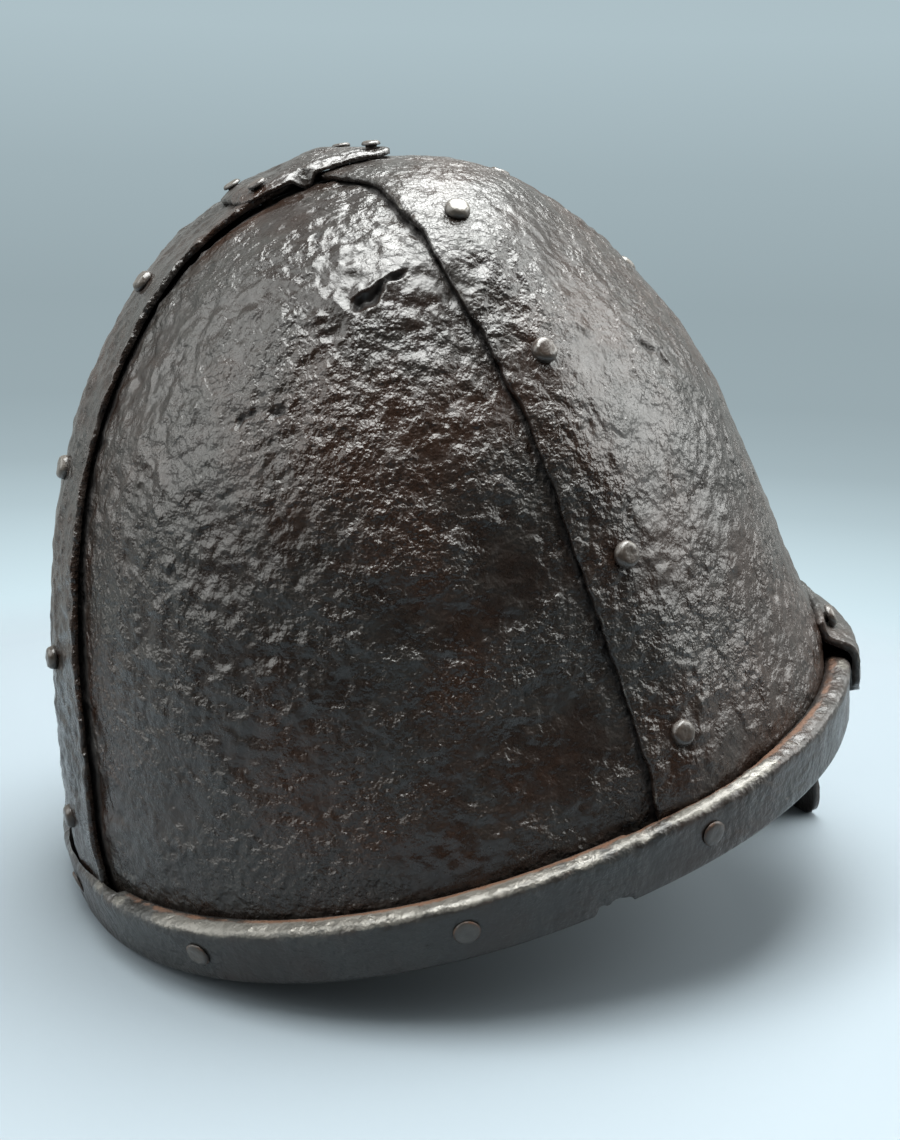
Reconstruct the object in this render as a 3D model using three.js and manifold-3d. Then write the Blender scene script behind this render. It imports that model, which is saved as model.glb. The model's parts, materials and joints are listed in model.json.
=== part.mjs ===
// An iron helmet of the early northern kind: four crown plates riveted in lapped seams, a brow band
// hammered over their lower ends, a small domed cap over the point where they meet, and a T-shaped
// plate that carries the nose guard. It stands tilted back, on the rear of its rim and on the worn
// tip of the nose guard.
//
// The pieces are made in the helmet's own frame (rim plane at z = 0, +X to the front, +Y to the
// wearer's left, +Z up) and the whole helmet is tilted onto its two rests at the end.

import * as THREE from "three";
import Module from "manifold-3d";
import { mergeVertices } from "three/addons/utils/BufferGeometryUtils.js";

const wasm = await Module();
wasm.setup();

// Driving dimensions, in millimetres and degrees
const RIM_LENGTH = 223;         // outside of the band at the rim, front to rear
const RIM_WIDTH = 218;          // outside of the band at the rim, side to side
const PLAN_FULLNESS = 2.18;     // 2 is an ellipse, more is squarer
const CROWN_HEIGHT = 171;       // rim to the apex of the crown plates
const APEX_FORWARD = 4;         // the apex lies this far ahead of the rim's centre
const PLATE = 2;                // thickness of a crown plate
const CLEARANCE = 0.3;          // gap kept between two pieces that touch

const BAND_HEIGHT = 16.5;       // rim to the band's upper inner edge
const BAND_WALL = 4.2;          // band thickness at the rim, where it lies on one plate
const BAND_SPREAD = 2.6;        // how far the outer face leans out from rim to shoulder
const BAND_SHOULDER = 2.2;      // height of the bevelled shoulder
const BAND_BEVEL = 1;           // bevel of the lower outer edge
const PLATE_FOOT = 2.5;         // the crown plates end this far above the rim
const CHIP_LENGTH = 9;          // a piece broken out of the band's lower edge
const CHIP_HEIGHT = 2.4;
const CHIP_ANGLE = -94;         // where round the band the chip lies

const SIDE_SEAM_OFFSET = 8.5;   // lapped edge to the side meridian, at the rim
const END_SEAM_OFFSET = 23;     // lapped edge to the front or rear meridian, at the rim
const SIDE_RIVET_INSET = 11.2;  // lapped edge to the rivet line, side seams
const END_RIVET_INSET = 19.5;   // lapped edge to the rivet line, front and rear seams
const UNDER_MARGIN = 5.5;       // the plate beneath reaches this far past the rivets
const FOLD_RUN = 16;            // length in which the upper plate comes back down
const RIDGE_LIFT = 1.2;         // height of the crease along the rivets, as a share of the lap
const CROWN_MOUTH = 14.5;       // radius of the opening that the apex cap covers
const FULL_STRIP_RADIUS = 52;   // nearer the apex than this the seam strips narrow

const CAP_LENGTH = 41;          // apex cap, front to rear
const CAP_WIDTH = 32;           // apex cap, side to side
const CAP_PLATE = 1.6;          // its thickness
const CAP_DOME = 1.2;           // its extra rise in the middle
const CAP_BACK = 4.5;           // its centre lies this far behind the apex
const CAP_SQUARENESS = 5;       // 2 is an ellipse, more is squarer
const CAP_RIVET_INSET = 5.5;    // cap edge to rivet

const NASAL_LENGTH = 63.5;      // rim to the tip of the nose guard
const NASAL_WIDTH = 25;
const NASAL_PLATE = 2.2;        // thickness of the T-shaped plate
const NASAL_INSET = 1.5;        // the tip stands this far back from the bar's top
const NASAL_ARM = 37;           // the arms run this many degrees each way round the band
const NASAL_LIP = 10;           // the arms reach this far above the band
const NASAL_FOOT = 2.5;         // the arms end this far above the rim
const NASAL_ARM_LEANS = [0, 15, 50, 30, 12];  // degrees off level, from the arms' foot to their lip
const LIP_RIVET_PLACE = 0.72;   // place of the upper rivets, as a share of the lip
const LIP_RIVET_STAND = 1.7;    // their heads clear the bent lip by this many thicknesses

const RIVET_HEAD = 6.4;         // diameter of a seam rivet's head
const RIVET_RISE = 1.9;         // height of a seam rivet's head
const RIVET_SHANK = 3;          // diameter of every rivet's shank
const RIVET_TAIL = 5;           // diameter of the hammered end inside
const RIVET_TAIL_RISE = 1;
const BAND_RIVET_RISE = 0.7;    // the band's rivets are hammered almost flush
const CAP_RIVET_HEAD = 4.6;
const CAP_RIVET_RISE = 1.3;
const TAIL_TAPER = 0.8;         // end of the tail, as a share of its diameter
const DOME_SHOULDER = { width: 0.82, rise: 0.62 };  // bend of a head's dome, as shares of the head
const HOLE_REACH = 1.2;         // a rivet's hole is cut this far past both faces

// How finely the curved faces are divided
const ROWS = 12;
const UNDER_COLUMNS = 14;
const MIDDLE_COLUMNS = 6;
const BAND_SEGMENTS = 60;
const ARM_COLUMNS = 12;
const BAR_COLUMNS = 4;
const CAP_ROWS = 5;
const CAP_COLUMNS = 6;
const ROUND_SIDES = 8;

// Distance from axis to crown at each height, as shares of the size at the band
const CROWN_PROFILE = [
  { rise: 0.00, front: 1.00, side: 1.00, rear: 1.00 },
  { rise: 0.20, front: 0.95, side: 0.94, rear: 0.96 },
  { rise: 0.40, front: 0.88, side: 0.89, rear: 0.89 },
  { rise: 0.60, front: 0.79, side: 0.81, rear: 0.78 },
  { rise: 0.75, front: 0.66, side: 0.69, rear: 0.65 },
  { rise: 0.88, front: 0.46, side: 0.56, rear: 0.46 },
  { rise: 0.96, front: 0.26, side: 0.36, rear: 0.25 },
  { rise: 1.00, front: 0.00, side: 0.00, rear: 0.00 },
];

// How the lapped edges wander from bottom to top, as shares of the two seam offsets
const SEAM_SHAPE = [
  { rise: 0.00, side: 1.00, end: 1.00 },
  { rise: 0.18, side: 1.02, end: 0.95 },
  { rise: 0.42, side: 0.72, end: 0.71 },
  { rise: 0.64, side: 0.50, end: 0.52 },
  { rise: 0.80, side: 0.17, end: 0.46 },
  { rise: 0.93, side: -0.10, end: 0.39 },
  { rise: 0.98, side: -0.34, end: 0.50 },
  { rise: 1.00, side: -1.50, end: 0.12 },
];

// Outline of the nose guard: height as a share of its length, width as a share of its width
const NASAL_OUTLINE = [
  { down: 0.00, width: 1.00 },
  { down: 0.40, width: 0.98 },
  { down: 0.72, width: 0.97 },
  { down: 0.88, width: 0.88 },
  { down: 0.96, width: 0.68 },
  { down: 1.00, width: 0.42 },
];

const SEAM_RIVET_RISES = [0.10, 0.385, 0.69, 0.90];
const REAR_RIVET_RISES = [0.075, 0.34, 0.63, 0.88];
const BAND_RIVET_ANGLES = [-79.5, -112, -146, 180, 146, 112, 79.5];
const NASAL_LIP_RIVET_ANGLES = [-32, 32];
const NASAL_BAND_RIVET_ANGLES = [-25, 25];

const QUARTER = Math.PI / 2;
const FULL_TURN = Math.PI * 2;
const LAP = PLATE + CLEARANCE;
const SKIN_LENGTH = RIM_LENGTH / 2 - BAND_WALL - CLEARANCE;
const SKIN_WIDTH = RIM_WIDTH / 2 - BAND_WALL - CLEARANCE;
const LOWER_PLATE_TURN = 2.2;   // a lower plate spans about this many radians

// Flat facets lie up to this far inside the true curve of a plate
const FACET_SAG = SKIN_LENGTH
  * (2 - Math.cos(LOWER_PLATE_TURN / UNDER_COLUMNS / 2) - Math.cos(QUARTER / ROWS / 2));
const radians = THREE.MathUtils.degToRad;

// A smooth curve through one column of a table
function column(table, name, power = 1) {
  const heights = table.map((row) => row.rise);
  const values = table.map((row) => row[name] ** power);
  const curve = new THREE.CubicInterpolant(heights, values, 1);
  return (rise) => curve.evaluate(rise)[0];
}

// Squares of the shares, so that the profile comes in level at the apex
const profile = {
  front: column(CROWN_PROFILE, "front", 2),
  side: column(CROWN_PROFILE, "side", 2),
  rear: column(CROWN_PROFILE, "rear", 2),
};
const seamShape = { side: column(SEAM_SHAPE, "side"), end: column(SEAM_SHAPE, "end") };

// Every crown face is described by an angle round the axis and a climb: -1 at the rim, 0 at the top
// of the band, 1 at the apex
function riseAt(climb) {
  return Math.sin(Math.max(climb, 0) * QUARTER);
}

function climbAt(rise) {
  return Math.asin(rise) / QUARTER;
}

function climbAtHeight(height) {
  if (height < BAND_HEIGHT) return height / BAND_HEIGHT - 1;
  return climbAt((height - BAND_HEIGHT) / (CROWN_HEIGHT - BAND_HEIGHT));
}

function fullness(angle) {
  const n = PLAN_FULLNESS;
  return (Math.abs(Math.cos(angle)) ** n + Math.abs(Math.sin(angle)) ** n) ** (-1 / n);
}

function crownShare(angle, climb) {
  const front = Math.max(Math.cos(angle), 0) ** 2;
  const rear = Math.max(-Math.cos(angle), 0) ** 2;
  const rise = riseAt(climb);
  const square = front * profile.front(rise) + rear * profile.rear(rise)
    + (1 - front - rear) * profile.side(rise);
  return Math.sqrt(Math.max(square, 0));
}

// The outer face of a crown plate that lies underneath, which every other face follows
function skinPoint(angle, climb) {
  const reach = fullness(angle) * crownShare(angle, climb);
  const x = SKIN_LENGTH * reach * Math.cos(angle) + APEX_FORWARD * riseAt(climb);
  const y = SKIN_WIDTH * reach * Math.sin(angle);
  const z = climb < 0 ? BAND_HEIGHT * (1 + climb)
    : BAND_HEIGHT + (CROWN_HEIGHT - BAND_HEIGHT) * riseAt(climb);
  return new THREE.Vector3(x, y, z);
}

function skinNormal(angle, climb) {
  const step = 0.002;
  const round = skinPoint(angle + step, climb).sub(skinPoint(angle - step, climb));
  const up = skinPoint(angle, climb + step).sub(skinPoint(angle, climb - step));
  return round.cross(up).normalize();
}

function offSkin(angle, climb, offset) {
  return skinPoint(angle, climb).addScaledVector(skinNormal(angle, climb), offset);
}

// Distance from the crown's axis on one meridian
function axisDistance(meridian, climb) {
  const point = skinPoint(meridian, climb);
  return Math.hypot(point.x - APEX_FORWARD * riseAt(climb), point.y);
}

// Seams: on each side and at each end one plate laps over its neighbour
function stripRadius(meridian, climb) {
  return Math.max(axisDistance(meridian, climb), FULL_STRIP_RADIUS);
}

function seamAngle(meridian, kind, climb) {
  const steepest = 0.985;
  const atRim = kind === "side" ? SIDE_SEAM_OFFSET : END_SEAM_OFFSET;
  const offset = atRim * seamShape[kind](riseAt(climb));
  return meridian + Math.asin(Math.min(steepest, offset / axisDistance(meridian, climb)));
}

const FOLDS = { side: foldRows(SIDE_RIVET_INSET), end: foldRows(END_RIVET_INSET) };

// How far the upper plate stands off, from its lapped edge inwards
function foldRows(inset) {
  const past = inset + UNDER_MARGIN + 1;
  return [
    { from_edge: 0, lift: 1 },
    { from_edge: inset / 2, lift: 1 },
    { from_edge: inset, lift: RIDGE_LIFT },
    { from_edge: past, lift: 1 },
    { from_edge: past + FOLD_RUN, lift: 0 },
  ];
}

function foldLift(rows, distance) {
  const next = rows.findIndex((row) => row.from_edge >= distance);
  if (next < 0) return rows[rows.length - 1].lift;
  if (next === 0) return rows[0].lift;
  const [a, b] = [rows[next - 1], rows[next]];
  return THREE.MathUtils.mapLinear(distance, a.from_edge, b.from_edge, a.lift, b.lift);
}

// Upper plates: turn 0 is the front right one, turn PI the rear left one
function upperSpan(turn, climb) {
  const side = turn - QUARTER;
  const end = turn;
  return {
    start: seamAngle(side, "side", climb),
    end: seamAngle(end, "end", climb),
    sideRadius: stripRadius(side, climb),
    endRadius: stripRadius(end, climb),
  };
}

// Near the apex, between these two rises, an upper plate comes to stand off from edge to edge
const FULL_LIFT = { from: 0.8, to: 0.94 };

function upperLift(span, angle, climb) {
  const fromSide = (angle - span.start) * span.sideRadius;
  const fromEnd = (span.end - angle) * span.endRadius;
  const lift = Math.max(foldLift(FOLDS.side, fromSide), foldLift(FOLDS.end, fromEnd));
  const top = THREE.MathUtils.smoothstep(riseAt(climb), FULL_LIFT.from, FULL_LIFT.to);
  return THREE.MathUtils.lerp(lift, RIDGE_LIFT, top);
}

// Lower plates: turn 0 is the rear right one, turn PI the front left one
function lowerSpan(turn, climb) {
  const end = turn + Math.PI;
  const side = turn + Math.PI + QUARTER;
  const endReach = (END_RIVET_INSET + UNDER_MARGIN) / stripRadius(end, climb);
  const sideReach = (SIDE_RIVET_INSET + UNDER_MARGIN) / stripRadius(side, climb);
  return {
    start: seamAngle(end, "end", climb) - endReach,
    end: seamAngle(side, "side", climb) + sideReach,
  };
}

function covers(span, angle) {
  const from = THREE.MathUtils.euclideanModulo(angle - span.start, FULL_TURN);
  return from <= span.end - span.start;
}

// Outer and inner face of all the plates that lie at one place, measured from the skin
function layers(angle, climb) {
  const result = { outer: -PLATE, inner: LAP };
  for (const turn of [0, Math.PI]) {
    if (covers(lowerSpan(turn, climb), angle)) {
      result.outer = Math.max(result.outer, 0);
      result.inner = -PLATE;
    }
    const span = upperSpan(turn, climb);
    if (covers(span, angle)) {
      const local = span.start + THREE.MathUtils.euclideanModulo(angle - span.start, FULL_TURN);
      const face = upperLift(span, local, climb) * LAP;
      result.outer = Math.max(result.outer, face);
      result.inner = Math.min(result.inner, face - PLATE);
    }
  }
  return result;
}

// The highest plate face within a step either side, for a piece that lies over the seams
function coverOffset(angle, climb, step) {
  const places = [-1, -0.5, 0, 0.5, 1].map((share) => layers(angle + share * step, climb).outer);
  return Math.max(...places);
}

// Meshes and solids
function meshGeometry(points, faces) {
  const geometry = new THREE.BufferGeometry();
  const places = new THREE.Float32BufferAttribute(points.flatMap((point) => point.toArray()), 3);
  geometry.setAttribute("position", places);
  geometry.setIndex(faces.flat());
  return geometry;
}

// A bent sheet between two grids of points, closed round its border
function sheet(outer, inner) {
  const rows = outer.length;
  const columns = outer[0].length;
  const points = [...outer.flat(), ...inner.flat()];
  const at = (side, row, col) => side * rows * columns + row * columns + col;
  const faces = [];
  const quad = (a, b, c, d) => faces.push([a, b, c], [a, c, d]);
  for (let i = 0; i < rows - 1; i++) {
    for (let j = 0; j < columns - 1; j++) {
      quad(at(0, i, j), at(0, i, j + 1), at(0, i + 1, j + 1), at(0, i + 1, j));
      quad(at(1, i, j), at(1, i + 1, j), at(1, i + 1, j + 1), at(1, i, j + 1));
    }
  }
  const top = rows - 1;
  const end = columns - 1;
  for (let j = 0; j < end; j++) {
    quad(at(1, 0, j), at(1, 0, j + 1), at(0, 0, j + 1), at(0, 0, j));
    quad(at(0, top, j), at(0, top, j + 1), at(1, top, j + 1), at(1, top, j));
  }
  for (let i = 0; i < top; i++) {
    quad(at(1, i, 0), at(0, i, 0), at(0, i + 1, 0), at(1, i + 1, 0));
    quad(at(0, i, end), at(1, i, end), at(1, i + 1, end), at(0, i + 1, end));
  }
  return meshGeometry(points, faces);
}

// A hoop through sections that follow one another round a closed path
function hoop(sections) {
  const count = sections.length;
  const size = sections[0].length;
  const faces = [];
  for (let i = 0; i < count; i++) {
    for (let j = 0; j < size; j++) {
      const a = i * size + j;
      const b = ((i + 1) % count) * size + j;
      const c = ((i + 1) % count) * size + (j + 1) % size;
      const d = i * size + (j + 1) % size;
      faces.push([a, b, c], [a, c, d]);
    }
  }
  return meshGeometry(sections.flat(), faces);
}

function signedVolume(geometry) {
  const at = geometry.getAttribute("position");
  const index = geometry.getIndex();
  const [a, b, c] = [new THREE.Vector3(), new THREE.Vector3(), new THREE.Vector3()];
  let volume = 0;
  for (let i = 0; i < index.count; i += 3) {
    a.fromBufferAttribute(at, index.getX(i));
    b.fromBufferAttribute(at, index.getX(i + 1));
    c.fromBufferAttribute(at, index.getX(i + 2));
    volume += a.dot(b.cross(c)) / 6;
  }
  return volume;
}

// Shared vertices merged, faces without area dropped, faces turned outwards
function closed(source) {
  const bare = source.clone();
  bare.deleteAttribute("normal");
  bare.deleteAttribute("uv");
  const geometry = mergeVertices(bare, 1e-4);
  const index = geometry.getIndex().array;
  const inward = signedVolume(geometry) < 0;
  const kept = [];
  for (let i = 0; i < index.length; i += 3) {
    const [a, b, c] = [index[i], index[i + 1], index[i + 2]];
    if (a === b || b === c || c === a) continue;
    kept.push(a, inward ? c : b, inward ? b : c);
  }
  geometry.setIndex(kept);
  return geometry;
}

function toSolid(source) {
  const geometry = closed(source);
  const vertProperties = new Float32Array(geometry.getAttribute("position").array);
  const triVerts = new Uint32Array(geometry.getIndex().array);
  return new wasm.Manifold(new wasm.Mesh({ numProp: 3, vertProperties, triVerts }));
}

function toGeometry(solid) {
  const mesh = solid.getMesh();
  const places = new Float32Array(mesh.vertProperties);
  const geometry = new THREE.BufferGeometry();
  geometry.setAttribute("position", new THREE.BufferAttribute(places, 3));
  geometry.setIndex(new THREE.BufferAttribute(new Uint32Array(mesh.triVerts), 1));
  return geometry;
}

function cut(solid, tools) {
  return tools.reduce((rest, tool) => rest.subtract(tool), solid);
}

// The climb up to which a test holds, found by halving
function climbWhile(holds) {
  const halvings = 40;
  let low = 0;
  let high = 1;
  for (let i = 0; i < halvings; i++) {
    const middle = (low + high) / 2;
    if (holds(middle)) low = middle;
    else high = middle;
  }
  return low;
}

// Evenly spaced values from the first to the last, in this many steps
function spaced(first, last, steps) {
  return Array.from({ length: steps + 1 }, (_, i) => THREE.MathUtils.lerp(first, last, i / steps));
}

// Crown plates
const TOP_CLIMB = climbWhile((climb) => axisDistance(-QUARTER, climb) > CROWN_MOUTH);
const FOOT_CLIMB = climbAtHeight(PLATE_FOOT);

function plateClimbs() {
  return [FOOT_CLIMB, ...spaced(0, TOP_CLIMB, ROWS)];
}

function upperPlate(turn) {
  const outer = [];
  const inner = [];
  for (const climb of plateClimbs()) {
    const span = upperSpan(turn, climb);
    const fromSide = FOLDS.side.map((row) => span.start + row.from_edge / span.sideRadius);
    const fromEnd = FOLDS.end.map((row) => span.end - row.from_edge / span.endRadius).reverse();
    const middle = spaced(fromSide[fromSide.length - 1], fromEnd[0], MIDDLE_COLUMNS);
    const angles = [...fromSide, ...middle.slice(1, -1), ...fromEnd];
    const faces = angles.map((angle) => upperLift(span, angle, climb) * LAP);
    outer.push(angles.map((angle, i) => offSkin(angle, climb, faces[i])));
    inner.push(angles.map((angle, i) => offSkin(angle, climb, faces[i] - PLATE)));
  }
  return toSolid(sheet(outer, inner));
}

function lowerPlate(turn) {
  const outer = [];
  const inner = [];
  for (const climb of plateClimbs()) {
    const span = lowerSpan(turn, climb);
    const angles = spaced(span.start, span.end, UNDER_COLUMNS);
    outer.push(angles.map((angle) => offSkin(angle, climb, 0)));
    inner.push(angles.map((angle) => offSkin(angle, climb, -PLATE)));
  }
  return toSolid(sheet(outer, inner));
}

// Brow band
const SEGMENT = FULL_TURN / BAND_SEGMENTS;

function bandLean(height) {
  return BAND_SPREAD * Math.min(height / (BAND_HEIGHT - BAND_SHOULDER), 1);
}

// A point round the rim, grown outwards from the skin's plan by a distance
function planPoint(angle, grow, height) {
  const x = (SKIN_LENGTH + grow) * fullness(angle) * Math.cos(angle);
  const y = (SKIN_WIDTH + grow) * fullness(angle) * Math.sin(angle);
  return new THREE.Vector3(x, y, height);
}

const BAND_OUTSIDE = BAND_WALL + CLEARANCE;

function bandSection(angle) {
  const chordSag = SKIN_LENGTH * (1 - Math.cos(SEGMENT / 2));
  const inside = coverOffset(angle, -0.5, SEGMENT) + CLEARANCE + chordSag;
  const shoulder = BAND_OUTSIDE + BAND_SPREAD;
  return [
    planPoint(angle, inside, 0),
    planPoint(angle, BAND_OUTSIDE - BAND_BEVEL, 0),
    planPoint(angle, BAND_OUTSIDE + bandLean(BAND_BEVEL), BAND_BEVEL),
    planPoint(angle, shoulder, BAND_HEIGHT - BAND_SHOULDER),
    planPoint(angle, shoulder - BAND_SHOULDER / 2, BAND_HEIGHT - BAND_SHOULDER / 4),
    planPoint(angle, inside, BAND_HEIGHT),
  ];
}

function bandChip() {
  const through = 4 * BAND_WALL;
  const box = new THREE.BoxGeometry(through, CHIP_LENGTH, 2 * CHIP_HEIGHT);
  const angle = radians(CHIP_ANGLE);
  box.rotateZ(angle);
  const place = planPoint(angle, BAND_OUTSIDE, 0);
  box.translate(place.x, place.y, place.z);
  return toSolid(box);
}

function browBand() {
  const sections = [];
  for (let i = 0; i < BAND_SEGMENTS; i++) sections.push(bandSection((i + 0.5) * SEGMENT));
  return toSolid(hoop(sections)).subtract(bandChip());
}

// Nasal plate: two arms on the band, and the bar that guards the nose
const REAR_REST = planPoint(Math.PI - SEGMENT / 2, BAND_OUTSIDE - BAND_BEVEL, 0).x;
const NASAL_STAND = BAND_OUTSIDE + CLEARANCE;
const TIP_REST = SKIN_LENGTH + NASAL_STAND + NASAL_PLATE - NASAL_INSET;
const TILT = Math.atan(NASAL_LENGTH / (TIP_REST - REAR_REST));

function floorHeight(x) {
  return -(x - REAR_REST) * Math.tan(TILT);
}

// The arms' inner face, row by row, and the direction of their thickness
function armRows(angle) {
  const step = 2 * radians(NASAL_ARM) / ARM_COLUMNS;
  const shoulder = BAND_HEIGHT - BAND_SHOULDER;
  const outwards = planPoint(angle, 1, 0).sub(planPoint(angle, 0, 0)).normalize();
  const lean = (row) => {
    const rise = radians(NASAL_ARM_LEANS[row]);
    return outwards.clone().multiplyScalar(Math.cos(rise)).setZ(Math.sin(rise));
  };
  const onBand = (height) => planPoint(angle, NASAL_STAND + bandLean(height), height);
  const onCrown = (height) => {
    const climb = climbAtHeight(height);
    return offSkin(angle, climb, coverOffset(angle, climb, step) + CLEARANCE);
  };
  return [
    { point: onBand(NASAL_FOOT), way: lean(0) },
    { point: onBand(shoulder), way: lean(1) },
    { point: onBand(shoulder).setZ(BAND_HEIGHT + 2 * CLEARANCE), way: lean(2) },
    { point: onCrown(BAND_HEIGHT + NASAL_LIP / 2), way: lean(3) },
    { point: onCrown(BAND_HEIGHT + NASAL_LIP), way: lean(4) },
  ];
}

function nasalArms() {
  const strips = spaced(-NASAL_ARM, NASAL_ARM, ARM_COLUMNS).map((angle) => armRows(radians(angle)));
  const inner = strips[0].map((_, row) => strips.map((strip) => strip[row].point));
  const outer = strips[0].map((_, row) => strips.map((strip) => {
    return strip[row].point.clone().addScaledVector(strip[row].way, NASAL_PLATE);
  }));
  return toSolid(sheet(outer, inner));
}

function nasalBar() {
  const outer = [];
  const inner = [];
  const top = { down: -NASAL_FOOT * 2 / NASAL_LENGTH, width: 1 };
  for (const row of [top, ...NASAL_OUTLINE]) {
    const height = -row.down * NASAL_LENGTH;
    const stand = NASAL_STAND + bandLean(Math.max(height, 0)) - NASAL_INSET * Math.max(row.down, 0);
    const pick = (grow) => spaced(-0.5, 0.5, BAR_COLUMNS).map((share) => {
      const y = NASAL_WIDTH * row.width * share;
      const point = planPoint(Math.asin(y / SKIN_WIDTH), grow, height);
      if (row.down === 1) point.z = floorHeight(point.x);
      return point;
    });
    outer.push(pick(stand + NASAL_PLATE));
    inner.push(pick(stand));
  }
  return toSolid(sheet(outer.reverse(), inner.reverse()));
}

// Apex cap
// The place on the crown that lies at x, y, seen from above near the apex
function crownPlace(x, y) {
  const along = (x - APEX_FORWARD) / SKIN_LENGTH;
  const across = y / SKIN_WIDTH;
  const angle = Math.atan2(across, along);
  const share = Math.hypot(along, across) / fullness(angle);
  return { angle, climb: climbWhile((climb) => crownShare(angle, climb) > share) };
}

// How far the cap's inner face stands off the skin
function capStand(along, across) {
  return RIDGE_LIFT * LAP + CLEARANCE + CAP_DOME * (1 - along * along) * (1 - across * across);
}

function capPoint(along, across, depth) {
  const power = CAP_SQUARENESS;
  const corner = (Math.abs(along) ** power + Math.abs(across) ** power) ** (1 / power);
  const trim = corner > 0 ? Math.max(Math.abs(along), Math.abs(across)) / corner : 1;
  const x = APEX_FORWARD - CAP_BACK + along * trim * CAP_LENGTH / 2;
  const y = across * trim * CAP_WIDTH / 2;
  const place = crownPlace(x, y);
  return offSkin(place.angle, place.climb, capStand(along, across) + depth);
}

function apexCap() {
  const grid = (depth) => spaced(-1, 1, CAP_ROWS).map((across) => {
    return spaced(-1, 1, CAP_COLUMNS).map((along) => capPoint(along, across, depth));
  });
  return toSolid(sheet(grid(CAP_PLATE), grid(0)));
}

// Rivets. Each has an origin, an axis that points outwards, and the two faces that it grips,
// measured along that axis
function rivetShape(rivet) {
  const head = rivet.head / 2;
  const shank = RIVET_SHANK / 2;
  const tail = RIVET_TAIL / 2;
  const outer = rivet.outer + CLEARANCE;
  const inner = rivet.inner - CLEARANCE - FACET_SAG;
  const outline = [
    [0, inner - RIVET_TAIL_RISE],
    [tail * TAIL_TAPER, inner - RIVET_TAIL_RISE],
    [tail, inner],
    [shank, inner],
    [shank, outer],
    [head, outer],
    [head * DOME_SHOULDER.width, outer + rivet.rise * DOME_SHOULDER.rise],
    [0, outer + rivet.rise],
  ];
  const points = outline.map(([x, y]) => new THREE.Vector2(x, y));
  return closed(new THREE.LatheGeometry(points, ROUND_SIDES));
}

function rivetHole(rivet) {
  const length = rivet.outer - rivet.inner + 2 * HOLE_REACH;
  const radius = RIVET_SHANK / 2 + CLEARANCE;
  const hole = new THREE.CylinderGeometry(radius, radius, length, ROUND_SIDES);
  hole.translate(0, (rivet.outer + rivet.inner) / 2, 0);
  return toSolid(hole.applyMatrix4(rivetFrame(rivet)));
}

function rivetFrame(rivet) {
  const turn = new THREE.Quaternion().setFromUnitVectors(new THREE.Vector3(0, 1, 0), rivet.axis);
  return new THREE.Matrix4().compose(rivet.origin, turn, new THREE.Vector3(1, 1, 1));
}

function crownRivet(name, angle, climb, size) {
  const [origin, axis] = [skinPoint(angle, climb), skinNormal(angle, climb)];
  return { name, origin, axis, ...layers(angle, climb), ...size };
}

function seamRivets() {
  const size = { head: RIVET_HEAD, rise: RIVET_RISE };
  const seams = [
    { name: "right", meridian: -QUARTER, kind: "side", rises: SEAM_RIVET_RISES },
    { name: "rear", meridian: Math.PI, kind: "end", rises: REAR_RIVET_RISES },
    { name: "left", meridian: QUARTER, kind: "side", rises: SEAM_RIVET_RISES },
    { name: "front", meridian: 0, kind: "end", rises: SEAM_RIVET_RISES },
  ];
  const insets = { side: SIDE_RIVET_INSET, end: -END_RIVET_INSET };
  return seams.flatMap((seam) => seam.rises.map((rise, i) => {
    const climb = climbAt(rise);
    const inset = insets[seam.kind] / stripRadius(seam.meridian, climb);
    const angle = seamAngle(seam.meridian, seam.kind, climb) + inset;
    return crownRivet(`seam_rivet_${seam.name}_${i + 1}`, angle, climb, size);
  }));
}

// A rivet through the band: its axis is square to the band's leaning face
function bandRivet(name, degrees, height, size, over) {
  const angle = radians(degrees);
  const step = 0.01;
  const face = (turn, z) => planPoint(turn, BAND_OUTSIDE + bandLean(z), z);
  const round = face(angle + step, height).sub(face(angle - step, height));
  const up = face(angle, height + step).sub(face(angle, height - step));
  const slack = RIVET_TAIL / 2 * BAND_SPREAD / BAND_HEIGHT;
  const depth = BAND_OUTSIDE + bandLean(height) - layers(angle, -0.5).inner + slack;
  const axis = round.cross(up).normalize();
  return { name, origin: face(angle, height), axis, outer: over, inner: -depth, ...size };
}

function bandRivets() {
  const size = { head: RIVET_HEAD, rise: BAND_RIVET_RISE };
  return BAND_RIVET_ANGLES.map((degrees, i) => {
    return bandRivet(`band_rivet_${i + 1}`, degrees, BAND_HEIGHT / 2, size, 0);
  });
}

function nasalRivets() {
  const size = { head: RIVET_HEAD, rise: RIVET_RISE };
  const over = CLEARANCE + NASAL_PLATE;
  const low = NASAL_BAND_RIVET_ANGLES.map((degrees, i) => {
    return bandRivet(`nasal_rivet_low_${i + 1}`, degrees, BAND_HEIGHT / 2, size, over);
  });
  const step = 2 * radians(NASAL_ARM) / ARM_COLUMNS;
  const high = NASAL_LIP_RIVET_ANGLES.map((degrees, i) => {
    const climb = climbAtHeight(BAND_HEIGHT + NASAL_LIP * LIP_RIVET_PLACE);
    const rivet = crownRivet(`nasal_rivet_high_${i + 1}`, radians(degrees), climb, size);
    const crown = coverOffset(radians(degrees), climb, step);
    rivet.outer = crown + 2 * CLEARANCE + NASAL_PLATE * LIP_RIVET_STAND;
    return rivet;
  });
  return [...low, ...high];
}

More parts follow.
